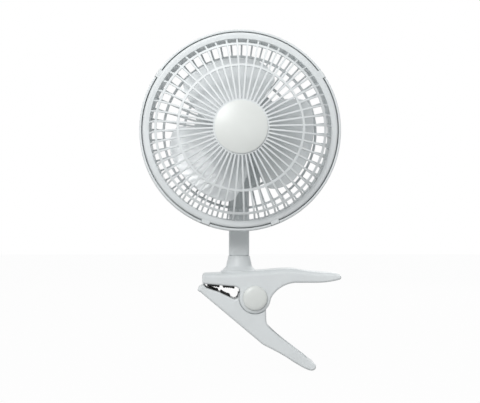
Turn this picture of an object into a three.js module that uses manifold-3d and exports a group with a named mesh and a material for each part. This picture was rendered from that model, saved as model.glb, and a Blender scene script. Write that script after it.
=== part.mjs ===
// Clip fan of the 15 cm class: a grille head on a neck that swivels in the upper arm of a sprung clip.
// Millimetres. X runs right, Y away from the front, Z up.
// The origin is the middle of the gripping face of the upper jaw's inner rubber pad.

import * as THREE from 'three';
import { mergeVertices } from 'three/addons/utils/BufferGeometryUtils.js';
import Module from 'manifold-3d';

const wasm = await Module();
wasm.setup();
const { Manifold } = wasm;
const degree = Math.PI / 180;
const fullTurn = 2 * Math.PI;

// ---------------------------------------------------------------- driving dimensions

const runningGap = 0.3; // between pieces that touch or turn in each other

// clip, measured from its pivot axis
const clipWidth = 40;
const clipWall = 2.4;
const edgeRound = 1.2;
const jawCorner = 2.4;
const jawReach = 49.5;
const jawRise = 13.2;
const jawSlope = 4.8 * degree;
const jawFloor = 2.4;
const bodyHeight = 25.2;
const noseDrop = 2.3; // of the jaw's end below the body's top
const handleReach = 82;
const handleRise = 14.1;
const handleCrown = 2.2; // of the handle's back above the body's top
const handleTipDrop = 2.2;
const handleLift = 3; // of the underside at the handle's end
const jawThroat = 19.5; // where the jaw's straight underside ends
const earRadius = 14.9;
const earTop = 162 * degree; // where the ear's round edge starts, above the jaw's side
const earGap = 0.4; // round the ears, in the lower arm
const cheekRadius = 14.2; // of the lower arm's eyes, between the ears
const lowerOverhang = 4.3; // of the lower jaw's tip past the upper one's
const lowerNose = 8.3; // straight part behind the lower jaw's tip
const lowerNoseHeight = 9.6;
const throatStep = 1; // by which the lower jaw's top ends nearer the pivot than the upper jaw's underside
const lowerJawFall = 7.2;
const lowerJawDip = 4.2;
const lowerNoseBase = 5.6;
const lowerBackSlope = 40 * degree;
const lowerHandleReach = 57.4;
const lowerHandleDrop = 68.8;
const pinRadius = 2.5;
const capRadius = 11.5;
const capHeight = 4.2;

// rubber jaw pads, with lengths and places along the jaws; the inner pads take what the tip pads leave
const padProud = 1.9;
const padInset = 4.7; // of the tip pad from the upper jaw's end
const padTipLength = 11.6;
const padBreak = 3.1; // between the two upper pads
const padPastThroat = 0.4; // of the inner pad beyond the jaw's straight underside
const lowerPadInset = 6.1; // of the tip pad from the upper jaw's end
const lowerPadTipLength = 9;
const lowerPadBreak = 2.2;
const lowerPadMargin = 3.5; // between the inner pad and the throat
const lowerPadProud = 1;
const lowerPadSeat = 0.4; // above the jaw's bent top
const padChamfer = 0.5;
const padSide = 0.6; // in from the clip's sides

// clip spring
const springWire = 1.8;
const springRadius = 6.4;
const springTurns = 5;
const springPitch = 2.4;
const springLegReach = 27;

// swivel and neck
const neckOffset = -14.5; // from the clip's pivot axis to the neck's axis
const pedestalTop = 39.8; // above the pivot axis
const pedestalNeckRadius = 10;
const pedestalFootRadius = 17.5;
const spigotRadius = 6.5;
const spigotReach = 17.6;
const neckWidth = 19.2;
const neckDepth = 16;
const neckCorner = 3.6;
const swivelScrewRadius = 1.9;
const washerRadius = 9;
const washerThickness = 1.2;
const swivelScrewLength = 10; // in the spigot
const screwHeadHeight = 2.2;

// tilt joint
const headHeight = 155.2; // head axis above the clip's pivot axis
const tiltDrop = 44; // tilt axis below the head axis
const tiltBoltRadius = 2.5;
const chinWidth = 40;
const chinRadius = 7.5;
const tiltDown = 15 * degree;
const tiltUp = 60 * degree;

// grilles: radii from the head axis, depths behind the rim plane
const rimDepthAheadOfNeck = 48;
const rimRadius = 93;
const rimLip = 2.7;
const rimJoint = 0.8; // open line between the lip and the front grille's rim
const rimLipProud = 1.8;
const rimBack = 11;
const rimSeat = 4; // depth of the step that the front grille's rim rests on
const rimNotch = 1.3; // depth of the notches in the lip for the front grille's tabs
const rimRound = 1.5;
const frontRimRound = 3;
const rimBand = 10; // width of the rim in front, lip included
const frontRimProud = 3.2;
const frontWallRun = 6.2; // slant of the side wall between the outer ring and the rim
const ribCount = 52;
const ribStart = 2.2 * degree;
const ribWidth = 1.6;
const ribDepth = 3.2;
const domeHeight = 30.2;
const domeMargin = 5; // of the dome's own radius past the rim's inner edge
const hubRadius = 25.2;
const frontRingInner = 56.4;
const ringWidth = 2.2;
const centreCapRadius = 23.6;
const capPegRadius = 3;
const capCrown = 2.8;
const capEdge = 1.2;
const rearDomeRadius = 101.7;
const rearDomeDepth = 34.9;
const rearWallThickness = 6;
const rearWallTaper = 5;
const rearRingInner = 52;
const rearWallRun = 11; // from the outer ring to the wall
const rearPlateRadius = 43;
const tabWidth = 7.9;
const tabLength = 4.9;
const tabAngles = [34.5 * degree, 145.5 * degree, 249.5 * degree, 290.5 * degree];

// propeller
const bladeCount = 3;
const tipMargin = 25.6; // between the blades' tips and the rim's outside
const bladeSeat = 5; // from the hub's front to the end of the shaft's socket
const bladeBossRadius = 6;
const bladeHubWall = 2;
const bladeHubRadius = 19;
const bladeRootDepth = 2.15; // how far a blade's root reaches into the hub
const bladeHubFront = -11;
const bladeHubBack = 16;
const bladeAdvance = 90; // advance in one turn
const bladeThickness = 1.9;
const bladeCamber = 1.4;
const firstBlade = 106 * degree;
const shaftRadius = 2.5;

// motor housing
const housingRadius = 40.5;
const housingSplit = 38;
const housingBack = 78;
const housingWall = 2;
const housingBackRadius = 32;
const housingScrewPlace = 31.6;
const shaftOpening = 16;
const mountScrewRadius = 1.5;
const ventCount = 12;
const ventWidth = 2.4;
const topVentPitch = 9 * degree;
const neckSideGap = 0.4; // on each side of the neck, in the chin
const boltHeadRadius = 4.6;
const boltSink = 3;
const nutSink = 3.6;
const screwSink = 5.5;
const knobStemRadius = 3;
const knobRadius = 10;
const switchDepth = 7.5;
const inletRadius = 3.6;
const inletPlace = -22;
const nutRadius = 4.4;
const knobHeight = 9;

// motor
const stackStart = 42;
const stackLength = 16;
const stackHalf = 28;
const stackCorner = 10;
const boreRadius = 12.5;
const slotRadius = 24;
const airGap = 0.5;
const poleShoe = 2.5;
const poleHalf = 5;
const coilSide = 4.2;
const coilOverhang = 4;
const motorScrewPlace = 23;
const motorScrewRadius = 1.5;
const bushRadius = 5.5;
const bushLength = 5;
const bracketThickness = 2.5;

// ---------------------------------------------------------------- places worked out from them

const halfClip = clipWidth / 2;
const earRoom = earRadius + earGap;
const lowerReach = jawReach + lowerOverhang;
const lowerJawRun = lowerReach - lowerNose - jawThroat + throatStep;
const lowerBend = earRadius / 2; // where the lower arm's straight back turns into its handle
const lowerHollowStart = 1.5 * lowerNose - lowerReach;
const jawUnderside = (u) => jawRise - (u + jawReach) * Math.tan(jawSlope);
const padTipPlace = -jawReach + padInset + padTipLength / 2;
const padInnerStart = -jawReach + padInset + padTipLength + padBreak;
const padInnerLength = -jawThroat + padPastThroat - padInnerStart;
const padInnerPlace = padInnerStart + padInnerLength / 2;
const lowerPadTipPlace = -jawReach + lowerPadInset + lowerPadTipLength / 2;
const lowerPadInnerStart = -jawReach + lowerPadInset + lowerPadTipLength + lowerPadBreak;
const lowerPadInnerLength = -jawThroat - lowerPadMargin - lowerPadInnerStart;
const lowerPadInnerPlace = lowerPadInnerStart + lowerPadInnerLength / 2;
const padFace = (u) => jawUnderside(u) - padProud / Math.cos(jawSlope);
const pivotPlace = new THREE.Vector3(-padInnerPlace, 0, -padFace(padInnerPlace));
const headPlace = new THREE.Vector3(
  pivotPlace.x + neckOffset,
  -rimDepthAheadOfNeck,
  pivotPlace.z + headHeight,
);
const ribPitch = fullTurn / ribCount;
const frontRimOuter = rimRadius - rimLip - rimJoint;
const frontRimInner = rimRadius - rimBand;
const frontRingOuter = frontRimInner - frontWallRun;
const domeRadius = frontRimInner + domeMargin;
const rearWallRadius = rimRadius - rearWallThickness;
const rearRingOuter = rearWallRadius - rearWallTaper - rearWallRun;
const tipRadius = rimRadius - tipMargin;
const stackEnd = stackStart + stackLength;

// ---------------------------------------------------------------- solids and meshes

function signedVolume(positions, corners) {
  const a = new THREE.Vector3();
  const b = new THREE.Vector3();
  const c = new THREE.Vector3();
  let volume = 0;
  for (let i = 0; i < corners.length; i += 3) {
    a.fromArray(positions, 3 * corners[i]);
    b.fromArray(positions, 3 * corners[i + 1]);
    c.fromArray(positions, 3 * corners[i + 2]);
    volume += a.dot(b.cross(c)) / 6;
  }
  return volume;
}

// A closed three.js geometry as a solid: corners welded, slivers on an axis dropped, faces turned outwards.
function solid(geometry) {
  const bare = geometry.clone();
  bare.deleteAttribute('normal');
  bare.deleteAttribute('uv');
  const welded = mergeVertices(bare, 1e-4);
  const positions = new Float32Array(welded.attributes.position.array);
  const all = welded.index.array;
  const corners = [];
  for (let i = 0; i < all.length; i += 3) {
    const [a, b, c] = [all[i], all[i + 1], all[i + 2]];
    if (a !== b && b !== c && c !== a) corners.push(a, b, c);
  }
  if (signedVolume(positions, corners) < 0) corners.reverse();
  return new Manifold(
    new wasm.Mesh({ numProp: 3, vertProperties: positions, triVerts: new Uint32Array(corners) }),
  );
}

function join(...solids) {
  return Manifold.union(solids);
}

function cut(body, ...tools) {
  return body.subtract(join(...tools));
}

function asGeometry(body) {
  const mesh = body.getMesh();
  const geometry = new THREE.BufferGeometry();
  geometry.setAttribute('position', new THREE.BufferAttribute(new Float32Array(mesh.vertProperties), 3));
  geometry.setIndex(new THREE.BufferAttribute(new Uint32Array(mesh.triVerts), 1));
  geometry.computeVertexNormals();
  return geometry;
}

function piece(name, body, material) {
  const mesh = new THREE.Mesh(asGeometry(body), material);
  mesh.name = name;
  return mesh;
}

// A profile of [radius, y] points spun about the Y axis. It starts and ends on the axis, or is closed here.
function spunY(profile, segments = 24, start = 0) {
  const points = profile.map(([r, y]) => new THREE.Vector2(r, y));
  const open = profile[0][0] > 0 || profile[profile.length - 1][0] > 0;
  if (open) points.push(points[0].clone());
  return solid(new THREE.LatheGeometry(points, segments, start, fullTurn));
}

function spunZ(profile, segments) {
  const points = profile.map(([r, z]) => new THREE.Vector2(r, z));
  const open = profile[0][0] > 0 || profile[profile.length - 1][0] > 0;
  if (open) points.push(points[0].clone());
  return solid(new THREE.LatheGeometry(points, segments).rotateX(Math.PI / 2));
}

// Cylinders along an axis, from one coordinate to another, through a point on the other two axes.
function rodX(radius, from, to, y = 0, z = 0, sides = 12) {
  const bar = new THREE.CylinderGeometry(radius, radius, to - from, sides).rotateZ(Math.PI / 2);
  return solid(bar.translate((from + to) / 2, y, z));
}

function rodY(radius, from, to, x = 0, z = 0, sides = 12) {
  const bar = new THREE.CylinderGeometry(radius, radius, to - from, sides);
  return solid(bar.translate(x, (from + to) / 2, z));
}

function rodZ(radius, from, to, x = 0, y = 0, sides = 12) {
  const bar = new THREE.CylinderGeometry(radius, radius, to - from, sides).rotateX(Math.PI / 2);
  return solid(bar.translate(x, y, (from + to) / 2));
}

function block(x0, x1, y0, y1, z0, z1) {
  const box = new THREE.BoxGeometry(x1 - x0, y1 - y0, z1 - z0);
  return solid(box.translate((x0 + x1) / 2, (y0 + y1) / 2, (z0 + z1) / 2));
}

// The points of an outline without any that repeat the one before.
function distinct(points) {
  const before = (i) => points[(i + points.length - 1) % points.length];
  return points.filter((point, i) => point.distanceTo(before(i)) > 1e-3);
}

function straightened(shape, curveSegments) {
  const drawn = shape.extractPoints(curveSegments);
  const plain = new THREE.Shape(distinct(drawn.shape));
  plain.holes = drawn.holes.map((hole) => new THREE.Path(distinct(hole)));
  return plain;
}

// A shape drawn in X and Z, as thick as from y0 to y1, its rim rounded by bevel.
function slabY(shape, y0, y1, bevel = 0, curveSegments = 8) {
  const geometry = new THREE.ExtrudeGeometry(straightened(shape, curveSegments), {
    depth: y1 - y0 - 2 * bevel,
    bevelEnabled: bevel > 0,
    bevelSize: bevel,
    bevelOffset: -bevel,
    bevelThickness: bevel,
    bevelSegments: 1,
  });
  return solid(geometry.rotateX(Math.PI / 2).translate(0, y1 - bevel, 0));
}

// A shape drawn in Y and Z, as thick as from x0 to x1.
function slabX(shape, x0, x1, curveSegments = 8) {
  const outline = straightened(shape, curveSegments);
  const geometry = new THREE.ExtrudeGeometry(outline, { depth: x1 - x0, bevelEnabled: false });
  geometry.rotateY(Math.PI / 2).rotateX(Math.PI / 2);
  return solid(geometry.translate(x0, 0, 0));
}

function polygon(points) {
  return new THREE.Shape(points.map(([x, y]) => new THREE.Vector2(x, y)));
}

function roundedRectangle(width, height, corner) {
  const [w, h] = [width / 2, height / 2];
  const shape = new THREE.Shape();
  shape.absarc(w - corner, h - corner, corner, 0, Math.PI / 2, false);
  shape.absarc(corner - w, h - corner, corner, Math.PI / 2, Math.PI, false);
  shape.absarc(corner - w, corner - h, corner, Math.PI, 1.5 * Math.PI, false);
  shape.absarc(w - corner, corner - h, corner, 1.5 * Math.PI, fullTurn, false);
  return shape;
}

// ---------------------------------------------------------------- materials

function plastic(color, roughness = 0.45) {
  return new THREE.MeshStandardMaterial({ color, roughness, metalness: 0 });
}

function metal(color, roughness = 0.35) {
  return new THREE.MeshStandardMaterial({ color, roughness, metalness: 1 });
}

const whitePlastic = plastic(0xdde0df);
const warmPlastic = plastic(0xe0e2dd);
const bladePlastic = plastic(0xdcdfe0, 0.25);
const blackRubber = plastic(0x151515, 0.85);
const darkPlastic = plastic(0x2c2e30, 0.6);
const steel = metal(0xb9bcc0);
const castMetal = metal(0xa6a9ac, 0.55);
const bronze = metal(0xb08d57, 0.5);
const enamelledCopper = metal(0xa4562c, 0.4);

// ---------------------------------------------------------------- clip

// Side view of the upper arm: jaw on the left, ear round the pivot, handle on the right.
function upperArmOutline() {
  const jawEnd = -jawReach;
  const top = bodyHeight;
  const shape = new THREE.Shape();
  shape.moveTo(jawEnd + jawCorner, jawUnderside(jawEnd));
  shape.lineTo(-jawThroat, jawUnderside(-jawThroat));
  const earSide = earRadius * Math.cos(earTop);
  shape.quadraticCurveTo(earSide, 0.96 * jawUnderside(-jawThroat), earSide, earRadius * Math.sin(earTop));
  shape.absarc(0, 0, earRadius, earTop, fullTurn - 8 * degree, false);
  shape.bezierCurveTo(
    1.06 * earRadius, 0.2 * earRadius,
    1.61 * earRadius, 0.9 * handleRise,
    2.52 * earRadius, handleRise,
  );
  shape.lineTo(0.68 * handleReach, handleRise);
  shape.quadraticCurveTo(0.86 * handleReach, handleRise, 0.975 * handleReach, handleRise + handleLift);
  const tipMiddle = handleRise + 1.4 * handleLift;
  shape.quadraticCurveTo(1.005 * handleReach, tipMiddle, 0.985 * handleReach, handleRise + 2.27 * handleLift);
  shape.splineThru([
    new THREE.Vector2(0.94 * handleReach, top - handleTipDrop),
    new THREE.Vector2(0.76 * handleReach, top - 0.45 * handleCrown),
    new THREE.Vector2(0.61 * handleReach, top + 0.1 * handleCrown),
    new THREE.Vector2(0.46 * handleReach, top + 0.95 * handleCrown),
    new THREE.Vector2(0.3 * handleReach, top + handleCrown),
    new THREE.Vector2(0.12 * handleReach, top + 0.4 * handleCrown),
    new THREE.Vector2(-0.1 * jawReach, top),
    new THREE.Vector2(-0.64 * jawReach, top - 0.74 * noseDrop),
    new THREE.Vector2(-0.93 * jawReach, top - noseDrop),
  ]);
  shape.quadraticCurveTo(jawEnd, top - 1.1 * noseDrop, jawEnd, top - 2.1 * noseDrop);
  shape.lineTo(jawEnd, jawUnderside(jawEnd) + jawCorner);
  shape.quadraticCurveTo(jawEnd, jawUnderside(jawEnd), jawEnd + jawCorner, jawUnderside(jawEnd));
  return shape;
}

// Underside of the upper arm's top wall, from the handle's end to the jaw's.
function upperCeiling() {
  const ceiling = bodyHeight - clipWall;
  return [
    [0.9 * handleReach, ceiling - 0.8 * handleTipDrop],
    [0.75 * handleReach, ceiling - 0.5 * handleCrown],
    [0.61 * handleReach, ceiling],
    [0.46 * handleReach, ceiling + 0.85 * handleCrown],
    [0.3 * handleReach, ceiling + 0.9 * handleCrown],
    [0, ceiling - 0.5 * noseDrop],
    [-0.64 * jawReach, ceiling - 0.8 * noseDrop],
    [-jawReach + clipWall, ceiling - 1.4 * noseDrop],
  ];
}

// The hollow of the upper arm: over the jaw's floor on the left, open below from there to the handle's end.
function upperArmHollow() {
  const jawEnd = -jawReach + clipWall;
  const floorEnd = -jawThroat;
  const floor = (u) => jawUnderside(u) + jawFloor;
  const below = -2 * earRadius;
  return polygon([
    [jawEnd, floor(jawEnd)],
    [floorEnd, floor(floorEnd)],
    [floorEnd, below],
    [0.9 * handleReach, below],
    ...upperCeiling(),
  ]);
}

// Flared pedestal that carries the neck, with its swivel bore, on the upper arm.
function pedestal() {
  const foot = bodyHeight - noseDrop; // inside the arm's sloping top
  const rise = pedestalTop - bodyHeight;
  const flare = pedestalFootRadius - pedestalNeckRadius;
  const profile = [[0, foot], [pedestalFootRadius, foot], [pedestalFootRadius, bodyHeight - edgeRound / 3]];
  [[0.8, 0.03], [0.56, 0.15], [0.32, 0.3], [0.22, 0.54], [0.12, 0.74], [0.03, 0.95]].forEach(([out, up]) => {
    profile.push([pedestalNeckRadius + out * flare, bodyHeight + up * rise]);
  });
  profile.push([0.95 * pedestalNeckRadius, pedestalTop], [0, pedestalTop]);
  return spunZ(profile, 32).translate([neckOffset, 0, 0]);
}

function upperArm() {
  const shell = slabY(upperArmOutline(), -halfClip, halfClip, edgeRound, 3);
  const hollow = slabY(upperArmHollow(), -halfClip + clipWall, halfClip - clipWall);
  const swivelBore = rodZ(spigotRadius + runningGap, 0, pedestalTop + 1, neckOffset, 0, 20);
  const pinBore = rodY(pinRadius + runningGap, -halfClip - 1, halfClip + 1);
  return join(shell.subtract(hollow), pedestal()).subtract(join(swivelBore, pinBore));
}

// Heights of the lower arm's edges above the pivot axis.
function lowerJawTop(u) {
  const along = (u + lowerReach - lowerNose) / lowerJawRun;
  return lowerNoseHeight - lowerJawFall * along - lowerJawDip * along * along;
}

function lowerJawUnderside(u) {
  return lowerNoseBase - (u + lowerReach - clipWall) * Math.tan(lowerBackSlope);
}

function lowerArmOutline() {
  const noseTop = jawUnderside(-jawReach) - 2 * runningGap;
  const tip = -lowerReach;
  const shape = new THREE.Shape();
  shape.moveTo(tip, 0.6 * noseTop);
  shape.quadraticCurveTo(tip + 0.1 * clipWall, 0.78 * noseTop, tip + 1.6 * clipWall, 0.9 * noseTop);
  shape.lineTo(-0.98 * jawReach, noseTop);
  for (let share = 0; share < 1; share += 0.24) {
    const u = tip + lowerNose + share * lowerJawRun;
    shape.lineTo(u, lowerJawTop(u));
  }
  const throatTop = earRadius * Math.sin(earTop);
  shape.quadraticCurveTo(-earRoom, lowerJawTop(-jawThroat), -earRoom, throatTop);
  shape.lineTo(0, -0.27 * earRadius);
  shape.lineTo(0.7 * earRadius, -0.72 * earRadius);
  shape.lineTo(0.715 * earRadius, -1.33 * earRadius);
  shape.quadraticCurveTo(0.73 * earRadius, -1.66 * earRadius, 0.93 * earRadius, -1.88 * earRadius);
  shape.quadraticCurveTo(
    1.2 * earRadius, -2.18 * earRadius,
    0.49 * lowerHandleReach, -0.592 * lowerHandleDrop,
  );
  shape.lineTo(0.925 * lowerHandleReach, -0.87 * lowerHandleDrop);
  shape.quadraticCurveTo(
    lowerHandleReach, -0.905 * lowerHandleDrop,
    lowerHandleReach, -0.93 * lowerHandleDrop,
  );
  shape.quadraticCurveTo(
    lowerHandleReach, -lowerHandleDrop,
    0.9 * lowerHandleReach, -0.988 * lowerHandleDrop,
  );
  shape.splineThru([
    new THREE.Vector2(0.8 * lowerHandleReach, -0.955 * lowerHandleDrop),
    new THREE.Vector2(0.64 * lowerHandleReach, -0.878 * lowerHandleDrop),
    new THREE.Vector2(0.52 * lowerHandleReach, -0.812 * lowerHandleDrop),
    new THREE.Vector2(0.36 * lowerHandleReach, -0.735 * lowerHandleDrop),
    new THREE.Vector2(lowerBend, lowerJawUnderside(lowerBend)),
  ]);
  shape.lineTo(tip + clipWall, lowerNoseBase);
  shape.quadraticCurveTo(tip + 0.25 * clipWall, 0.48 * noseTop, tip, 0.6 * noseTop);
  return shape;
}

// Upper face of the lower arm's bottom wall, from the jaw to the handle's end.
function lowerFloor() {
  const skin = clipWall / Math.cos(lowerBackSlope);
  return [
    [lowerHollowStart, lowerJawUnderside(lowerHollowStart) + skin],
    [lowerBend, lowerJawUnderside(lowerBend) + skin],
    [0.36 * lowerHandleReach, -0.735 * lowerHandleDrop + skin],
    [0.64 * lowerHandleReach, -0.878 * lowerHandleDrop + skin],
    [0.86 * lowerHandleReach, -0.96 * lowerHandleDrop + skin],
  ];
}

// The hollow of the lower arm: closed over the jaw, open above from the pivot to the handle's end.
function lowerArmHollow() {
  const skin = clipWall / Math.cos(lowerBackSlope);
  const above = 1.24 * earRadius;
  const open = -1.15 * earRadius;
  const middle = (open + lowerHollowStart) / 2;
  return polygon([
    ...lowerFloor(),
    [0.9 * lowerHandleReach, -0.6 * lowerHandleDrop],
    [0.6 * lowerHandleReach, above],
    [open, above],
    ...[open, middle, lowerHollowStart].map((u) => [u, lowerJawTop(u) - skin]),
  ]);
}

function lowerArm() {
  const innerHalf = halfClip - clipWall - runningGap; // the cheeks run inside the upper arm's ears
  const shell = slabY(lowerArmOutline(), -halfClip, halfClip, edgeRound, 3);
  const nearEarRoom = rodY(earRoom, -halfClip - 1, -innerHalf, 0, 0, 32);
  const farEarRoom = rodY(earRoom, innerHalf, halfClip + 1, 0, 0, 32);
  const cheeks = rodY(cheekRadius, -innerHalf, innerHalf, 0, 0, 32);
  const step = rodY(earRoom + clipWall, -halfClip, halfClip, 0, 0, 32);
  const wideHollow = slabY(lowerArmHollow(), -halfClip + clipWall, halfClip - clipWall);
  const narrowHollow = slabY(lowerArmHollow(), -innerHalf + clipWall, innerHalf - clipWall);
  const pinBore = rodY(pinRadius + runningGap, -halfClip - 1, halfClip + 1);
  const outer = join(cut(shell, nearEarRoom, farEarRoom), cheeks);
  return cut(outer, wideHollow.subtract(step), narrowHollow, pinBore);
}

// A rubber pad under the upper jaw, its gripping face padProud below the jaw.
function upperPad(middle, length) {
  const [left, right] = [middle - length / 2, middle + length / 2];
  const back = (u) => jawUnderside(u) - runningGap;
  return slabY(
    polygon([
      [left, back(left)],
      [left, padFace(left) + padChamfer],
      [left + padChamfer, padFace(left + padChamfer)],
      [right - padChamfer, padFace(right - padChamfer)],
      [right, padFace(right) + padChamfer],
      [right, back(right)],
    ]),
    padSide - halfClip,
    halfClip - padSide,
  );
}

// A pad on the lower jaw, as proud as it can be with the jaws closed.
function lowerPad(middle, length) {
  const [left, right] = [middle - length / 2, middle + length / 2];
  const back = (u) => lowerJawTop(u) + lowerPadSeat;
  const face = (u) => {
    const straight = back(left) + ((u - left) / length) * (back(right) - back(left));
    return Math.min(straight + lowerPadProud, padFace(u) - runningGap);
  };
  return slabY(
    polygon([
      [left, back(left)],
      [middle, back(middle)],
      [right, back(right)],
      [right, face(right) - padChamfer],
      [right - padChamfer, face(right - padChamfer)],
      [left + padChamfer, face(left + padChamfer)],
      [left, face(left) - padChamfer],
    ]),
    padSide - halfClip,
    halfClip - padSide,
  );
}

// Domed cover over one end of the pivot pin, on the outside of an ear.
function pivotCap(side) {
  const seat = halfClip + runningGap;
  const dome = [
    [0, seat],
    [capRadius, seat],
    [capRadius, seat + 0.3 * capHeight],
    [0.9 * capRadius, seat + 0.66 * capHeight],
    [0.6 * capRadius, seat + 0.9 * capHeight],
    [0, seat + capHeight],
  ];
  const body = spunY(dome, 28);
  return side > 0 ? body : body.rotate([180, 0, 0]);
}

// Height of a bent line of [u, v] points at one u.
function heightAt(points, u) {
  for (let i = 1; i < points.length; i += 1) {
    const [[u0, v0], [u1, v1]] = [points[i - 1], points[i]];
    if ((u - u0) * (u - u1) <= 0) return v0 + ((u - u0) / (u1 - u0)) * (v1 - v0);
  }
  return points[points.length - 1][1];
}

// Angle round the pivot where a straight leg from a point touches the coil.
// Turn, 1 or -1, gives the side.
function touchAngle(point, turn) {
  const reach = Math.hypot(point[0], point[1]);
  return Math.atan2(point[1], point[0]) + turn * Math.acos(springRadius / reach);
}

// Centreline of the torsion spring: leg under the upper handle, coil round the pin, leg on the lower handle.
function springPath() {
  const clear = springWire / 2 + runningGap;
  const upperEnd = [springLegReach, heightAt(upperCeiling(), springLegReach) - clear];
  const lowerEnd = [0.75 * springLegReach, 0];
  lowerEnd[1] = heightAt(lowerFloor(), lowerEnd[0]) + clear / Math.cos(lowerBackSlope);
  const from = touchAngle(upperEnd, 1);
  const leave = touchAngle(lowerEnd, -1) + fullTurn;
  const swept = leave - from + springTurns * fullTurn;
  const half = (swept / fullTurn) * springPitch / 2;
  const count = Math.round((8 * swept) / fullTurn);
  const path = [new THREE.Vector3(upperEnd[0], -half, upperEnd[1])];
  for (let i = 0; i <= count; i += 1) {
    const angle = from + (swept * i) / count;
    const along = half * ((2 * i) / count - 1);
    path.push(new THREE.Vector3(springRadius * Math.cos(angle), along, springRadius * Math.sin(angle)));
  }
  path.push(new THREE.Vector3(lowerEnd[0], half, lowerEnd[1]));
  return path;
}

// One unbroken tube of a given radius along a bent line, with flat ends.
function tube(path, radius, sides) {
  const positions = [];
  const corners = [];
  let side = null;
  path.forEach((point, i) => {
    const before = path[Math.max(i - 1, 0)];
    const after = path[Math.min(i + 1, path.length - 1)];
    const along = after.clone().sub(before).normalize();
    if (side === null) side = new THREE.Vector3(0, 1, 0).cross(along);
    side.addScaledVector(along, -side.dot(along)).normalize();
    const up = along.clone().cross(side);
    for (let k = 0; k < sides; k += 1) {
      const turn = (fullTurn * k) / sides;
      const ring = point.clone();
      ring.addScaledVector(side, radius * Math.cos(turn)).addScaledVector(up, radius * Math.sin(turn));
      positions.push(ring.x, ring.y, ring.z);
    }
  });
  for (let i = 0; i + 1 < path.length; i += 1) {
    for (let k = 0; k < sides; k += 1) {
      const [a, b] = [i * sides + k, i * sides + ((k + 1) % sides)];
      corners.push(a, b, a + sides, b, b + sides, a + sides);
    }
  }
  const last = (path.length - 1) * sides;
  for (let k = 1; k + 1 < sides; k += 1) {
    corners.push(0, k + 1, k);
    corners.push(last, last + k, last + k + 1);
  }
  const geometry = new THREE.BufferGeometry();
  geometry.setAttribute('position', new THREE.Float32BufferAttribute(positions, 3));
  geometry.setIndex(corners);
  return solid(geometry);
}

// Least clear gap between stretches of a tube that aren't neighbours along it.
function leastGap(path, radius) {
  const along = [0];
  for (let i = 1; i < path.length; i += 1) along.push(along[i - 1] + path[i].distanceTo(path[i - 1]));
  let least = Infinity;
  path.forEach((a, i) => {
    path.forEach((b, j) => {
      if (along[j] - along[i] > 8 * radius) least = Math.min(least, a.distanceTo(b) - 2 * radius);
    });
  });
  return least;
}

function clipSpring() {
  const path = springPath();
  console.log(`clip spring: least gap to itself ${leastGap(path, springWire / 2).toFixed(2)} mm`);
  return tube(path, springWire / 2, 5);
}

// ---------------------------------------------------------------- neck

const neckBottom = pedestalTop + runningGap;
const tiltHeight = headHeight - tiltDrop;
const ceilingAtNeck = heightAt(upperCeiling(), neckOffset - washerRadius);
const spigotEnd = Math.min(pedestalTop - spigotReach, ceilingAtNeck - runningGap);
const knuckleRadius = neckDepth / 2;

// Post with a knuckle at the top and, below, the spigot that turns in the pedestal.
function neckPost() {
  const section = roundedRectangle(neckWidth, neckDepth, neckCorner);
  const post = new THREE.ExtrudeGeometry(straightened(section, 3), {
    depth: tiltHeight - neckBottom,
    bevelEnabled: false,
  });
  const edge = 0.1 * knuckleRadius;
  const half = neckWidth / 2;
  const profile = [
    [0, -half],
    [knuckleRadius - edge, -half],
    [knuckleRadius, -half + edge],
    [knuckleRadius, half - edge],
    [knuckleRadius - edge, half],
    [0, half],
  ];
  const knuckle = spunY(profile, 24).rotate([0, 0, 90]).translate([0, 0, tiltHeight]);
  const spigot = rodZ(spigotRadius, spigotEnd, neckBottom + 1, 0, 0, 20);
  const boltBore = rodX(tiltBoltRadius + runningGap, -neckWidth, neckWidth, 0, tiltHeight);
  const boreEnd = spigotEnd + 1.2 * swivelScrewLength;
  const screwBore = rodZ(swivelScrewRadius + runningGap, spigotEnd - 1, boreEnd, 0, 0, 8);
  return cut(join(solid(post.translate(0, 0, neckBottom)), knuckle, spigot), boltBore, screwBore);
}

function swivelWasher() {
  const top = spigotEnd - runningGap;
  const ring = rodZ(washerRadius, top - washerThickness, top, 0, 0, 20);
  return ring.subtract(rodZ(swivelScrewRadius + runningGap, top - washerThickness - 1, top + 1, 0, 0, 8));
}

function swivelScrew() {
  const seat = spigotEnd - washerThickness - 2 * runningGap;
  const middle = seat - screwHeadHeight / 2;
  const head = rodZ(2 * swivelScrewRadius, seat - screwHeadHeight, seat, 0, 0, 12);
  return join(head, rodZ(swivelScrewRadius, middle, spigotEnd + swivelScrewLength, 0, 0, 8));
}

// ---------------------------------------------------------------- grilles

function ellipseDepth(radius, height, r) {
  return height * Math.sqrt(Math.max(0, 1 - (r / radius) ** 2));
}

const domeDepth = (r) => -ellipseDepth(domeRadius, domeHeight, r);
const dishDepth = (r) => ellipseDepth(rearDomeRadius, rearDomeDepth, r);

function aroundAxis(body, angle) {
  return body.rotate([0, -angle / degree, 0]);
}

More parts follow.
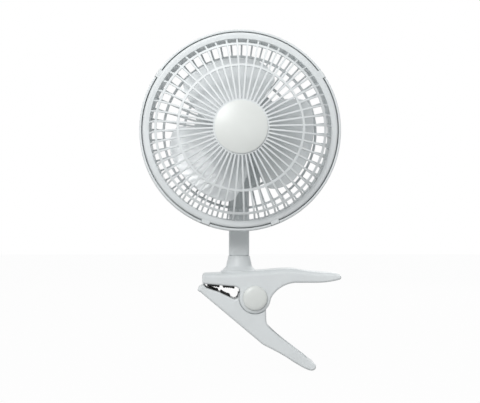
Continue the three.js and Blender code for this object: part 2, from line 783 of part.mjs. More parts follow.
// A profile of [radius, y] points, out from the axis on one face and back to it on the other, spun about Y
// and pierced between straight ribs of one width. pierced numbers the open stretches of the first face, and
// each comes out by the stretch that is as far from the profile's end.
function lattice(profile, pierced, firstRib) {
  const positions = [];
  profile.forEach(([r, y]) => {
    const half = r > ribWidth ? Math.asin(ribWidth / 2 / r) : 0;
    for (let i = 0; i < ribCount; i += 1) {
      [-half, half].forEach((turn) => {
        const angle = firstRib + i * ribPitch + turn;
        positions.push(r * Math.cos(angle), y, r * Math.sin(angle));
      });
    }
  });
  const around = 2 * ribCount;
  const corners = [];
  const at = (row, k) => (row % profile.length) * around + (k % around);
  const quad = (a, b, c, d) => corners.push(a, b, c, a, c, d);
  const partner = (row) => profile.length - 2 - row;
  for (let row = 0; row < profile.length; row += 1) {
    const step = pierced.includes(row) || pierced.includes(partner(row)) ? 2 : 1;
    for (let k = 0; k < around; k += step) {
      quad(at(row, k), at(row, k + 1), at(row + 1, k + 1), at(row + 1, k));
    }
  }
  pierced.forEach((outer) => {
    const inner = partner(outer);
    for (let k = 1; k < around; k += 2) {
      const [a, b, c, d] = [at(outer, k), at(outer, k + 1), at(outer + 1, k + 1), at(outer + 1, k)];
      const [e, f, g, h] = [at(inner, k), at(inner, k + 1), at(inner + 1, k + 1), at(inner + 1, k)];
      quad(a, b, g, h);
      quad(b, c, f, g);
      quad(c, d, e, f);
      quad(d, a, h, e);
    }
  });
  const geometry = new THREE.BufferGeometry();
  geometry.setAttribute('position', new THREE.Float32BufferAttribute(positions, 3));
  geometry.setIndex(corners);
  return solid(geometry);
}

function frontGrille() {
  const outer = frontRimOuter;
  const half = ringWidth / 2;
  const hubBack = domeDepth(hubRadius) + ribDepth;
  const seat = rimSeat - runningGap;
  const edges = [
    hubRadius, frontRingInner - half, frontRingInner + half, frontRingOuter - half, frontRingOuter + half,
  ];
  const outside = edges.map((r) => [r, domeDepth(r)]);
  const inside = edges.map((r) => [r, domeDepth(r) + ribDepth]).reverse();
  const body = lattice(
    [
      [0, domeDepth(hubRadius)],
      ...outside,
      [frontRimInner, rimRound / 2 - frontRimProud],
      [outer - frontRimRound, -frontRimProud],
      [outer - 0.3 * frontRimRound, 0.3 * frontRimRound - frontRimProud],
      [outer, frontRimRound - frontRimProud],
      [outer, seat],
      [frontRimInner, seat],
      ...inside,
      [0, hubBack],
    ],
    [1, 3, 5],
    ribStart,
  );
  const tabs = tabAngles.map((angle) => {
    const front = rimRound / 4 - frontRimProud;
    const back = rimNotch - runningGap;
    const tab = block(outer - tabLength / 2, outer + tabLength / 2, front, back, -tabWidth / 2, tabWidth / 2);
    return aroundAxis(tab, angle);
  });
  const pegHole = rodY(capPegRadius + runningGap, hubBack - 2 * ribDepth, hubBack + 1);
  return join(cut(body, pegHole), ...tabs);
}

// Smooth domed disc that snaps onto the middle of the front grille by a peg.
function grilleCentreCap() {
  const seat = domeDepth(hubRadius) - runningGap;
  const shoulder = seat - capEdge;
  const dome = [
    [0, seat + ribDepth],
    [capPegRadius, seat + ribDepth],
    [capPegRadius, seat],
    [centreCapRadius, seat],
  ];
  [1, 0.95, 0.8, 0.5].forEach((share) => {
    dome.push([share * centreCapRadius, shoulder - capCrown * (1 - share ** 2.4)]);
  });
  dome.push([0, shoulder - capCrown]);
  return spunY(dome, 28);
}

function rearGrille() {
  const lipInner = rimRadius - rimLip;
  const half = ringWidth / 2;
  const edges = [
    rearPlateRadius, rearRingInner - half, rearRingInner + half, rearRingOuter - half, rearRingOuter + half,
    rearWallRadius - rearWallTaper,
  ];
  const outside = edges.map((r) => [r, dishDepth(r)]).reverse();
  const inside = edges.map((r) => [r, dishDepth(r) - ribDepth]);
  const plate = dishDepth(rearPlateRadius);
  const body = lattice(
    [
      [0, plate - ribDepth],
      ...inside,
      [rearWallRadius - rearWallTaper / 2, rimSeat],
      [lipInner, rimSeat],
      [lipInner, -rimLipProud],
      [rimRadius - rimRound / 2, -rimLipProud],
      [rimRadius, rimBack],
      ...outside,
      [0, plate],
    ],
    [1, 3, 5],
    ribStart + ribPitch / 2,
  );
  const reach = rearDomeDepth + ribDepth;
  const notches = tabAngles.map((angle) => {
    const width = tabWidth / 2 + runningGap;
    const end = frontRimOuter + tabLength / 2 + runningGap;
    const notch = block(lipInner - 2 * runningGap, end, -2 * rimLipProud, rimNotch, -width, width);
    return aroundAxis(notch, angle);
  });
  const holeRadius = mountScrewRadius + runningGap;
  const screwHoles = mountScrewPlaces().map(([x, z]) => rodY(holeRadius, 0, reach, x, z, 8));
  return cut(body, rodY(shaftOpening, 0, reach, 0, 0, 24), ...notches, ...screwHoles);
}

// ---------------------------------------------------------------- propeller

// Angles of a blade's edges from its middle line: trailing on the far side, leading with a swept-back corner.
function bladeEdges(r) {
  const tipShare = Math.max(0, (r / tipRadius - 0.82) / 0.18);
  const leading = -(51 - 18 * tipShare * tipShare) * degree;
  const trailing = (60 - 41 * (r / tipRadius - 0.43)) * degree;
  return [leading, trailing];
}

// A blade as two skins over the same grid: a helical surface, cambered along its chord.
function blade() {
  const chordSteps = 5;
  const outward = [0.45, 0.63, 0.8, 0.9, 0.965, 1].map((share) => share * tipRadius);
  const radii = [bladeHubRadius - bladeRootDepth, ...outward];
  const middle = (bladeHubFront + bladeHubBack) / 2;
  const skins = [[], []];
  radii.forEach((r) => {
    const [leading, trailing] = bladeEdges(r);
    const rounding = r > 0.95 * tipRadius ? 0.9 : 1;
    for (let j = 0; j <= chordSteps; j += 1) {
      const share = j / chordSteps;
      const angle = ((leading + trailing) / 2) + (share - 0.5) * (trailing - leading) * rounding;
      const bulge = bladeCamber * (1 - (2 * share - 1) ** 2);
      const depth = middle - (bladeAdvance * angle) / fullTurn + bulge;
      const half = (bladeThickness / 2) * (j === 0 || j === chordSteps ? 0.5 : 1);
      skins[0].push([r * Math.cos(angle), depth - half, r * Math.sin(angle)]);
      skins[1].push([r * Math.cos(angle), depth + half, r * Math.sin(angle)]);
    }
  });
  const row = chordSteps + 1;
  const count = skins[0].length;
  const corners = [];
  const quad = (a, b, c, d) => corners.push(a, b, c, a, c, d);
  for (let i = 0; i + 1 < radii.length; i += 1) {
    for (let j = 0; j < chordSteps; j += 1) {
      const a = i * row + j;
      quad(a, a + 1, a + row + 1, a + row);
      quad(a + count, a + count + row, a + count + row + 1, a + count + 1);
    }
    const near = i * row;
    const far = near + chordSteps;
    quad(near, near + row, near + row + count, near + count);
    quad(far, far + count, far + count + row, far + row);
  }
  for (let j = 0; j < chordSteps; j += 1) {
    const outer = (radii.length - 1) * row + j;
    quad(j, j + count, j + count + 1, j + 1);
    quad(outer, outer + 1, outer + count + 1, outer + count);
  }
  const geometry = new THREE.BufferGeometry();
  geometry.setAttribute('position', new THREE.Float32BufferAttribute([...skins[0], ...skins[1]].flat(), 3));
  geometry.setIndex(corners);
  return solid(geometry);
}

function propeller() {
  const socket = shaftRadius + runningGap;
  const inner = bladeHubRadius - bladeHubWall;
  const seat = bladeHubFront + bladeSeat;
  const hub = spunY(
    [
      [0, bladeHubFront],
      [0.8 * bladeHubRadius, bladeHubFront],
      [bladeHubRadius, bladeHubFront + 1.8 * bladeHubWall],
      [bladeHubRadius, bladeHubBack],
      [inner, bladeHubBack],
      [inner, seat],
      [bladeBossRadius, seat - bladeHubWall],
      [bladeBossRadius, bladeHubBack - bladeHubWall / 2],
      [socket, bladeHubBack - bladeHubWall / 2],
      [socket, seat],
      [0, seat],
    ],
    24,
  );
  const keepOut = rodY(bladeHubRadius - 0.75 * bladeHubWall, -bladeAdvance, bladeAdvance, 0, 0, 24);
  const single = blade().subtract(keepOut);
  const blades = [];
  for (let i = 0; i < bladeCount; i += 1) {
    blades.push(aroundAxis(single, firstBlade + (i * fullTurn) / bladeCount));
  }
  return join(hub, ...blades);
}

const shaftBehindBracket = 1.5;
const rotorEnd = stackEnd + coilOverhang + runningGap + bracketThickness + shaftBehindBracket;

function motorShaft() {
  const chamfer = 0.2 * shaftRadius;
  const start = bladeHubFront + bladeSeat + runningGap;
  return spunY(
    [
      [0, start],
      [shaftRadius - chamfer, start],
      [shaftRadius, start + chamfer],
      [shaftRadius, rotorEnd - chamfer],
      [shaftRadius - chamfer, rotorEnd],
      [0, rotorEnd],
    ],
    12,
  );
}

// ---------------------------------------------------------------- motor

function rotorCore() {
  const inner = shaftRadius + runningGap;
  const outer = boreRadius - airGap;
  const endRing = 1;
  return spunY(
    [
      [inner, stackStart - endRing],
      [outer - 1.2, stackStart - endRing],
      [outer - 1.2, stackStart],
      [outer, stackStart],
      [outer, stackEnd],
      [outer - 1.2, stackEnd],
      [outer - 1.2, stackEnd + endRing],
      [inner, stackEnd + endRing],
    ],
    20,
  );
}

// Opening in the laminations: the rotor bore and the four winding slots between the poles.
function laminationOpening() {
  const shoeBack = boreRadius + poleShoe;
  const tip = 35 * degree;
  const path = new THREE.Path();
  for (let pole = 0; pole < 4; pole += 1) {
    const middle = (pole * Math.PI) / 2;
    const neckIn = Math.asin(poleHalf / shoeBack);
    const neckOut = Math.asin(poleHalf / slotRadius);
    const next = middle + Math.PI / 2;
    if (pole === 0) path.moveTo(boreRadius * Math.cos(middle - tip), boreRadius * Math.sin(middle - tip));
    path.absarc(0, 0, boreRadius, middle - tip, middle + tip, false);
    path.lineTo(shoeBack * Math.cos(middle + tip), shoeBack * Math.sin(middle + tip));
    path.lineTo(shoeBack * Math.cos(middle + neckIn), shoeBack * Math.sin(middle + neckIn));
    path.absarc(0, 0, slotRadius, middle + neckOut, next - neckOut, false);
    path.lineTo(shoeBack * Math.cos(next - neckIn), shoeBack * Math.sin(next - neckIn));
    path.lineTo(shoeBack * Math.cos(next - tip), shoeBack * Math.sin(next - tip));
  }
  return path;
}

function motorScrewPlaces() {
  const p = motorScrewPlace;
  return [[p, p], [-p, p], [-p, -p], [p, -p]];
}

function statorCore() {
  const sheet = roundedRectangle(2 * stackHalf, 2 * stackHalf, stackCorner);
  sheet.holes.push(laminationOpening());
  const stack = slabY(sheet, stackStart, stackEnd, 0, 3);
  const bores = motorScrewPlaces().map(([x, z]) =>
    rodY(motorScrewRadius + runningGap, stackStart - 1, stackEnd + 1, x, z, 8));
  return cut(stack, ...bores);
}

// A coil round the pole that points along +X.
function coil(poleAngle) {
  const inner = roundedRectangle(stackLength + 2 * runningGap, 2 * (poleHalf + runningGap), 0.6);
  const height = 2 * (poleHalf + runningGap + coilSide);
  const outer = roundedRectangle(stackLength + 2 * coilOverhang, height, 3);
  const radialStart = boreRadius + poleShoe + runningGap;
  const radialEnd = Math.sqrt(slotRadius ** 2 - (height / 2) ** 2) - 2 * runningGap;
  const window = slabX(inner, radialStart - 1, radialEnd + 1, 1);
  const ringed = slabX(outer, radialStart, radialEnd, 1).subtract(window);
  return aroundAxis(ringed.translate([0, (stackStart + stackEnd) / 2, 0]), poleAngle);
}

// Cast cross with a bush seat in the middle and four posts on the stack. end is -1 in front, 1 behind.
function bearingBracket(end) {
  const face = end < 0 ? stackStart : stackEnd;
  const near = face + end * (coilOverhang + runningGap);
  const far = near + end * bracketThickness;
  const span = (a, b) => [Math.min(a, b), Math.max(a, b)];
  const [y0, y1] = span(near, far);
  const armWidth = 8.4;
  const armReach = Math.hypot(motorScrewPlace, motorScrewPlace);
  const parts = [rodY(12, y0, y1, 0, 0, 12)];
  const [b0, b1] = span(far, far - end * (bushLength + 0.4));
  parts.push(rodY(bushRadius + 2.6, b0, b1, 0, 0, 12));
  for (let i = 0; i < 2; i += 1) {
    const arm = block(-armReach, armReach, y0, y1, -armWidth / 2, armWidth / 2);
    parts.push(aroundAxis(arm, Math.PI / 4 + (i * Math.PI) / 2));
  }
  const [p0, p1] = span(face + end * runningGap, far);
  motorScrewPlaces().forEach(([x, z]) => parts.push(rodY(armWidth / 2, p0, p1, x, z, 8)));
  const bores = motorScrewPlaces().map(([x, z]) =>
    rodY(motorScrewRadius + runningGap, p0 - 1, p1 + 1, x, z, 8));
  const bushSeat = rodY(bushRadius + runningGap, b0 - 1, b1 + 1, 0, 0, 12);
  return cut(join(...parts), ...bores, bushSeat);
}

function bearingBush(end) {
  const face = end < 0 ? stackStart : stackEnd;
  const far = face + end * (coilOverhang + runningGap + bracketThickness - 0.5);
  const [y0, y1] = [Math.min(far, far - end * bushLength), Math.max(far, far - end * bushLength)];
  const bore = shaftRadius + runningGap;
  return spunY([[bore, y0], [bushRadius, y0], [bushRadius, y1], [bore, y1]], 12);
}

function motorScrew([x, z]) {
  const seat = stackEnd + coilOverhang + bracketThickness + 2 * runningGap;
  const tip = housingFrontStart() + 0.6;
  const head = rodY(1.9 * motorScrewRadius, seat, seat + 1.9, x, z, 10);
  return join(rodY(motorScrewRadius, tip, seat + 1, x, z, 8), head);
}

// ---------------------------------------------------------------- motor housing

function housingFrontStart() {
  return dishDepth(rearPlateRadius) + runningGap;
}

function mountScrewPlaces() {
  const p = housingScrewPlace;
  return [[p, 0], [0, p], [-p, 0]];
}

function housingFront() {
  const start = housingFrontStart();
  const inner = housingRadius - housingWall;
  const cup = spunY(
    [
      [9, start],
      [housingRadius - 1, start],
      [housingRadius, start + 1],
      [housingRadius, housingSplit],
      [inner, housingSplit],
      [inner, start + housingWall],
      [9, start + housingWall],
    ],
    36,
  );
  const bracketFace = stackStart - coilOverhang - 2 * runningGap - bracketThickness;
  const seats = motorScrewPlaces().map(([x, z]) => rodY(4.2, start + 1, bracketFace, x, z, 8));
  const pillars = mountScrewPlaces().map(([x, z]) => rodY(3.1, start + 1, stackEnd, x, z, 8));
  const motorBores = motorScrewPlaces().map(([x, z]) =>
    rodY(motorScrewRadius + runningGap, start - 1, bracketFace + 1, x, z, 8));
  const pillarBores = mountScrewPlaces().map(([x, z]) =>
    rodY(mountScrewRadius + runningGap, start - 1, stackEnd + 1, x, z, 8));
  return cut(join(cup, ...seats, ...pillars), ...motorBores, ...pillarBores);
}

// Side view of the room that the neck needs in the chin, from one tilt limit to the other.
function neckRoom() {
  const room = knuckleRadius + 0.5;
  const reach = 3 * room;
  const pivotDepth = rimDepthAheadOfNeck;
  const front = -Math.PI / 2 - tiltDown;
  const back = -Math.PI / 2 + tiltUp;
  const shape = new THREE.Shape();
  const far = (angle, side) => [
    pivotDepth + reach * Math.cos(angle) + side * room * Math.sin(angle),
    -tiltDrop + reach * Math.sin(angle) - side * room * Math.cos(angle),
  ];
  shape.absarc(pivotDepth, -tiltDrop, room, back + Math.PI / 2, front - Math.PI / 2 + fullTurn, false);
  shape.lineTo(...far(front, 1));
  shape.lineTo(pivotDepth, -tiltDrop - 1.2 * reach);
  shape.lineTo(...far(back, -1));
  return shape;
}

function chin() {
  const depth = rimDepthAheadOfNeck;
  const top = -housingRadius + 7.5;
  const shape = new THREE.Shape();
  shape.moveTo(depth - chinRadius, top);
  shape.absarc(depth, -tiltDrop, chinRadius, Math.PI, fullTurn, false);
  shape.lineTo(depth + chinRadius, top);
  const cheeks = slabX(shape, -chinWidth / 2, chinWidth / 2, 8);
  const slot = neckWidth / 2 + neckSideGap;
  const liningBack = depth + chinRadius + 5;
  const lining = block(-slot - 2, slot + 2, depth - chinRadius, liningBack, 1 - housingRadius, top - 1.2);
  return join(cheeks, lining);
}

function housingRear() {
  const [r, w, back] = [housingRadius, housingWall, housingBack];
  const start = housingSplit + runningGap;
  const shell = spunY(
    [
      [0, back],
      [housingBackRadius, back],
      [r - 2.6, back - 6],
      [r, back - 20],
      [r, start],
      [r - w, start],
      [r - w, back - 20.4],
      [r - w - 2.6, back - 7],
      [housingBackRadius - 0.8, back - w],
      [0, back - w],
    ],
    36,
  );
  const screwSeat = back - screwSink;
  const slot = neckWidth / 2 + neckSideGap;
  const hingeDepth = rimDepthAheadOfNeck;
  const alongHinge = (radius, from, to, sides) => rodX(radius, from, to, hingeDepth, -tiltDrop, sides);
  const tools = [
    slabX(neckRoom(), -slot, slot, 8),
    alongHinge(tiltBoltRadius + runningGap, -chinWidth, chinWidth, 12),
    alongHinge(boltHeadRadius + 0.4, chinWidth / 2 - boltSink, chinWidth, 16),
    alongHinge(nutRadius + runningGap, -chinWidth, nutSink - chinWidth / 2, 6),
    rodY(knobStemRadius + 0.6, back - w - 1, back + 1),
    rodY(inletRadius + runningGap, back - w - 1, back + 1, 0, inletPlace, 16),
  ];
  const pillars = [];
  mountScrewPlaces().forEach(([x, z]) => {
    pillars.push(rodY(4.4, stackEnd + runningGap, back - 1, x, z, 8));
    tools.push(rodY(3.2, screwSeat, back + 1, x, z, 8));
    tools.push(rodY(mountScrewRadius + runningGap, stackEnd - 1, back + 1, x, z, 8));
  });
  const backVent = block(14, 26, back - w - 1, back + 1, -ventWidth / 2, ventWidth / 2);
  for (let i = 1; i < ventCount; i += 1) {
    tools.push(aroundAxis(backVent, (i * fullTurn) / ventCount - Math.PI / 2));
  }
  const topVent = block(r - 4, r + 1, start + 8, start + 20, -ventWidth / 2, ventWidth / 2);
  for (let i = -3; i <= 3; i += 1) tools.push(aroundAxis(topVent, Math.PI / 2 + i * topVentPitch));
  return cut(join(shell, chin(), ...pillars), ...tools);
}

function housingScrew([x, z]) {
  const seat = housingBack - screwSink + runningGap;
  return join(rodY(mountScrewRadius, stackEnd - 10, seat + 1, x, z, 8), rodY(2.8, seat, seat + 2, x, z, 10));
}

function mountScrew([x, z]) {
  const seat = dishDepth(rearPlateRadius) - ribDepth - runningGap;
  return join(rodY(mountScrewRadius, seat - 1, seat + 12, x, z, 8), rodY(3, seat - 2, seat, x, z, 10));
}

function tiltBolt() {
  const seat = chinWidth / 2 - boltSink + runningGap;
  return join(
    rodX(tiltBoltRadius, 1 - chinWidth / 2, seat + 1, rimDepthAheadOfNeck, -tiltDrop, 12),
    rodX(boltHeadRadius, seat, seat + 2.4, rimDepthAheadOfNeck, -tiltDrop, 16),
  );
}

function tiltNut() {
  const [x0, x1] = [runningGap - chinWidth / 2, nutSink - runningGap - chinWidth / 2];
  const hex = rodX(nutRadius, x0, x1, rimDepthAheadOfNeck, -tiltDrop, 6);
  return hex.subtract(rodX(tiltBoltRadius + runningGap, x0 - 1, x1 + 1, rimDepthAheadOfNeck, -tiltDrop, 12));
}

function speedSwitch() {
  const back = housingBack - housingWall - runningGap;
  const body = block(-10, 10, back - switchDepth, back, -10, 10);
  return body.subtract(rodY(knobStemRadius + runningGap, back - 5.5, back + 1));
}

function speedKnob() {
  const start = housingBack + runningGap;
  const end = start + knobHeight;
  const skirt = spunY(
    [
      [0, start],
      [knobRadius, start],
      [knobRadius, start + 2.6],
      [knobRadius - 1.4, start + 3.8],
      [0, start + 3.8],
    ],
    24,
  );
  const grip = slabY(roundedRectangle(5.6, 2 * knobRadius - 3, 2.2), start + 2, end, 0.6, 3);
  return join(skirt, grip, rodY(knobStemRadius, start - 6, start + 1));
}

function cableInlet() {
  const start = housingBack + runningGap;
  const bore = 2.4;
  return spunY(
    [
      [bore, housingBack - housingWall - 1],
      [inletRadius, housingBack - housingWall - 1],
      [inletRadius, start],
      [inletRadius + 2.2, start],
      [inletRadius + 2.2, start + 1.6],
      [inletRadius - 0.3, start + 8.4],
      [bore, start + 8.4],
    ],
    16,
  ).translate([0, 0, inletPlace]);
}

// ---------------------------------------------------------------- assembly

const clipGroup = new THREE.Group();
clipGroup.position.copy(pivotPlace);
clipGroup.add(
  piece('clip_upper_arm', upperArm(), whitePlastic),
  piece('clip_lower_arm', lowerArm(), whitePlastic),
  piece('upper_pad_tip', upperPad(padTipPlace, padTipLength), blackRubber),
  piece('upper_pad_inner', upperPad(padInnerPlace, padInnerLength), blackRubber),
  piece('lower_pad_tip', lowerPad(lowerPadTipPlace, lowerPadTipLength), blackRubber),
  piece('lower_pad_inner', lowerPad(lowerPadInnerPlace, lowerPadInnerLength), blackRubber),
  piece('pivot_pin', rodY(pinRadius, -halfClip, halfClip), steel),
  piece('pivot_cap_front', pivotCap(-1), warmPlastic),
  piece('pivot_cap_back', pivotCap(1), warmPlastic),
  piece('clip_spring', clipSpring(), steel),
);

const neckGroup = new THREE.Group();
neckGroup.position.set(pivotPlace.x + neckOffset, 0, pivotPlace.z);
neckGroup.add(
  piece('neck_post', neckPost(), whitePlastic),
  piece('swivel_washer', swivelWasher(), steel),
  piece('swivel_screw', swivelScrew(), steel),
);

const headGroup = new THREE.Group();
headGroup.position.copy(headPlace);
headGroup.add(
  piece('front_grille', frontGrille(), whitePlastic),
  piece('grille_centre_cap', grilleCentreCap(), warmPlastic),
  piece('rear_grille', rearGrille(), whitePlastic),
  piece('propeller', propeller(), bladePlastic),
  piece('motor_shaft', motorShaft(), steel),
  piece('rotor_core', rotorCore(), steel),
  piece('stator_core', statorCore(), steel),
  piece('bearing_bracket_front', bearingBracket(-1), castMetal),
  piece('bearing_bracket_rear', bearingBracket(1), castMetal),
  piece('bearing_bush_front', bearingBush(-1), bronze),
  piece('bearing_bush_rear', bearingBush(1), bronze),
  piece('housing_front', housingFront(), whitePlastic),
  piece('housing_rear', housingRear(), whitePlastic),
  piece('tilt_bolt', tiltBolt(), steel),
  piece('tilt_nut', tiltNut(), steel),
  piece('speed_switch', speedSwitch(), darkPlastic),
  piece('speed_knob', speedKnob(), whitePlastic),
  piece('cable_inlet', cableInlet(), whitePlastic),
);
for (let i = 0; i < 4; i += 1) {
  headGroup.add(piece(`stator_coil_${i + 1}`, coil((i * Math.PI) / 2), enamelledCopper));
  headGroup.add(piece(`motor_screw_${i + 1}`, motorScrew(motorScrewPlaces()[i]), steel));
}
mountScrewPlaces().forEach((place, i) => {
  headGroup.add(piece(`housing_screw_${i + 1}`, housingScrew(place), steel));
  headGroup.add(piece(`grille_screw_${i + 1}`, mountScrew(place), steel));
});

const clipFan = new THREE.Group();
clipFan.name = 'clip_fan';
clipFan.add(clipGroup, neckGroup, headGroup);

export default clipFan;
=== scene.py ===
"""Looks of the clip fan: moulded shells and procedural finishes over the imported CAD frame.

Sizes are in millimetres, X to the right, Y away from the front and Z up, as in the CAD model.
"""

from math import acos, asin, atan2, cos, hypot, pi, radians, sin, sqrt, tan

import bmesh
import bpy
import numpy as np
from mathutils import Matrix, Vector
from numpy.linalg import norm


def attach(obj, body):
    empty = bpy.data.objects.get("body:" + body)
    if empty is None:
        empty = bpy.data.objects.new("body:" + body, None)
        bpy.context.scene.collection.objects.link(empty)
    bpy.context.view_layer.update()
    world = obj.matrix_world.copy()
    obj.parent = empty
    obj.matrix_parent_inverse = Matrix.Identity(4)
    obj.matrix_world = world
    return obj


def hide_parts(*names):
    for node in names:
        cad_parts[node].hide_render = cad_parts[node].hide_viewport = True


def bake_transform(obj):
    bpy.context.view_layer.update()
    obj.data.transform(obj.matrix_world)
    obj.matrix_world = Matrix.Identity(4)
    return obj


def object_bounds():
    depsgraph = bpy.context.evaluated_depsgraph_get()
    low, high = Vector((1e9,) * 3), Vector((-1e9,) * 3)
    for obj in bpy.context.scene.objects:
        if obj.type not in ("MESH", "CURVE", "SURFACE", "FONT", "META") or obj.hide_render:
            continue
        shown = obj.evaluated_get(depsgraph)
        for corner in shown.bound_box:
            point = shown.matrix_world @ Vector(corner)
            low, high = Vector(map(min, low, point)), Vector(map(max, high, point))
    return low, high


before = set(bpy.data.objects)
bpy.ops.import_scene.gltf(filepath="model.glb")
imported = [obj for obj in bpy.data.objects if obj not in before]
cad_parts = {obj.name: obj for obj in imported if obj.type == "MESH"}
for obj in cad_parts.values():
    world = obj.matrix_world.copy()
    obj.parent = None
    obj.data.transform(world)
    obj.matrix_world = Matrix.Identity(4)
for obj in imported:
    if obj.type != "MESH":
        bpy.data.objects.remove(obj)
cad_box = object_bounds()

# ---- sizes

MM = 0.001
GAP = 0.3  # between pieces that touch or turn in each other

PIVOT = (24.6, 0.0, -9.2024)
NECK = (10.1, 0.0, -9.2024)
HEAD = (10.1, -48.0, 145.9976)

# clip
HALF_CLIP = 20  # half of its width
CLIP_WALL = 2.4
CLIP_ROUND = 2.2
CLIP_CROWN = 5.5  # rounding of the upper arm's top edges
JAW_CORNER = 2.4
JAW_REACH = 49.5
JAW_RISE = 13.2
JAW_SLOPE = radians(4.8)
JAW_FLOOR = 2.4
BODY_HEIGHT = 25.2
NOSE_DROP = 2.3
HANDLE_REACH = 82
HANDLE_RISE = 14.1
HANDLE_CROWN = 2.2
HANDLE_TIP_DROP = 2.2
HANDLE_LIFT = 3
JAW_THROAT = 19.5
EAR_RADIUS = 14.9
EAR_TOP = radians(162)
EAR_GAP = 0.4
CHEEK_RADIUS = 14.2
LOWER_REACH = 53.8
LOWER_NOSE = 8.3
LOWER_NOSE_HEIGHT = 9.6
LOWER_JAW_RUN = 27
LOWER_JAW_FALL = 7.2
LOWER_JAW_DIP = 4.2
LOWER_NOSE_BASE = 5.6
LOWER_BACK_SLOPE = radians(40)
LOWER_HANDLE_REACH = 57.4
LOWER_HANDLE_DROP = 68.8
PIN_RADIUS = 2.5
CAP_RADIUS = 11.5
CAP_HEIGHT = 4.2
CAP_RIM_EDGE = 0.4

# jaw pads: place of the middle along the jaw, and length
PAD_PROUD = 1.9
UPPER_PADS = {"tip": (-39, 11.6), "inner": (-24.6, 11)}
LOWER_PADS = {"tip": (-38.9, 9), "inner": (-27.6, 9.2)}
LOWER_PAD_PROUD = 1
LOWER_PAD_SEAT = 0.4
PAD_SIDE = 0.6
PAD_ROUND = 0.35
PAD_CORNER = 0.5
GROOVE_PITCH = 1.9
GROOVE_DEPTH = 0.5

# clip spring
SPRING_WIRE = 1.8
SPRING_RADIUS = 6.4
SPRING_TURNS = 5
SPRING_PITCH = 2.4
SPRING_LEG_REACH = 27

# neck
NECK_OFFSET = -14.5
PEDESTAL_TOP = 39.8
PEDESTAL_NECK_RADIUS = 10
PEDESTAL_FOOT_RADIUS = 17.5
PEDESTAL_EDGE = 0.5
SPIGOT_RADIUS = 6.5
SPIGOT_REACH = 17.6
NECK_WIDTH = 19.2
NECK_DEPTH = 16
NECK_CORNER = 3.6
WASHER_RADIUS = 9
WASHER_THICKNESS = 1.2

# tilt joint
HINGE = (48, -44)  # depth and height of its bolt from the middle of the head
HEAD_HEIGHT = 155.2
CHIN_WIDTH = 40
CHIN_RADIUS = 7.5
CHIN_OVERLAP = 7.5  # of the chin with the round housing above it
TILT_DOWN = radians(15)
TILT_UP = radians(60)
NECK_SIDE_GAP = 0.4
BOLT_SINK = 3
NUT_SINK = 3.6
NUT_RADIUS = 4.4

# grilles: radii from the head axis, depths behind the rim plane
RIM_RADIUS = 93
RIM_LIP = 2.7
RIM_JOINT = 0.8
RIM_LIP_PROUD = 1.8
RIM_BACK = 11
RIM_SEAT = 4
RIM_NOTCH = 1.3
RIM_ROUND = 1.5
FRONT_RIM_ROUND = 3
FRONT_RIM_INNER = 83
FRONT_RIM_PROUD = 3.2
FRONT_RING_OUTER = 76.8
FRONT_RING_INNER = 56.4
RING_WIDTH = 2.2
RIB_COUNT = 52
RIB_START = radians(2.2)
RIB_PITCH = 2 * pi / RIB_COUNT
RIB_WIDTH = 1.6
RIB_DEPTH = 3.2
DOME_RADIUS = 88
DOME_HEIGHT = 30.2
HUB_RADIUS = 25.2
CENTRE_CAP_RADIUS = 23.6
CAP_PEG_RADIUS = 3
CAP_CROWN = 2.8
CAP_EDGE = 1.2
DISH_RADIUS = 101.7
DISH_DEPTH = 34.9
REAR_WALL_RADIUS = 87
REAR_WALL_TAPER = 5
REAR_RING_INNER = 52
REAR_RING_OUTER = 71
REAR_PLATE_RADIUS = 43
TAB_WIDTH = 7.9
TAB_LENGTH = 4.9
TAB_ANGLES = [radians(a) for a in (34.5, 145.5, 249.5, 290.5)]

# propeller
BLADE_COUNT = 3
TIP_RADIUS = 67.4
BLADE_SEAT = 5
BLADE_BOSS_RADIUS = 6
BLADE_HUB_WALL = 2
BLADE_HUB_RADIUS = 19
BLADE_HUB_FRONT = -11
BLADE_HUB_BACK = 16
BLADE_ADVANCE = 90
BLADE_THICKNESS = 1.9
BLADE_CAMBER = 1.4
FIRST_BLADE = radians(106)
SHAFT_RADIUS = 2.5

# motor housing
HOUSING_RADIUS = 40.5
HOUSING_SPLIT = 38
HOUSING_BACK = 78
HOUSING_WALL = 2
HOUSING_BACK_RADIUS = 32
MOUNT_SCREWS = [(31.6, 0), (0, 31.6), (-31.6, 0)]
MOUNT_BOSS_RADIUS = 3.1
COVER_BOSS_RADIUS = 4.4
SCREW_WELL_RADIUS = 3.2
FRONT_BORE = 9
SHAFT_OPENING = 16
VENT_COUNT = 12
VENT_WIDTH = 2.4
TOP_VENT_PITCH = radians(9)
SCREW_SINK = 5.5
KNOB_STEM_RADIUS = 3
KNOB_RADIUS = 10
KNOB_HEIGHT = 9
GRIP_WIDTH = 5.6
DIAL_SIZE = 5
DIAL_DEPTH = 0.06
DIAL_PROUD = 0.07
DIAL_REACH = KNOB_RADIUS + 3.6
INLET_RADIUS = 3.6
INLET_PLACE = -22
CABLE_RADIUS = 2.4

# motor
STACK_START = 42
STACK_END = 58
BORE_RADIUS = 12.5
SLOT_RADIUS = 24
POLE_SHOE = 2.5
POLE_HALF = 5
COIL_SIDE = 4.2
COIL_OVERHANG = 4
MOTOR_SCREWS = [(23, 23), (-23, 23), (-23, -23), (23, -23)]
MOTOR_BOSS_RADIUS = 4.2
BRACKET_THICKNESS = 2.5
COIL_WIRE = 0.42  # radius of the enamelled wire
COIL_CORNER = 1.6
COIL_CORNER_STEPS = 6

# screws: radius of the shank, radius and height of the head
SCREW_RADIUS = 1.5
HOUSING_SCREW = (SCREW_RADIUS, 2.8, 2)
GRILLE_SCREW = (SCREW_RADIUS, 3, 2)
MOTOR_SCREW = (SCREW_RADIUS, 2.85, 1.9)
SWIVEL_SCREW = (1.9, 3.8, 2.2)
TILT_BOLT = (2.5, 4.6, 2.4)

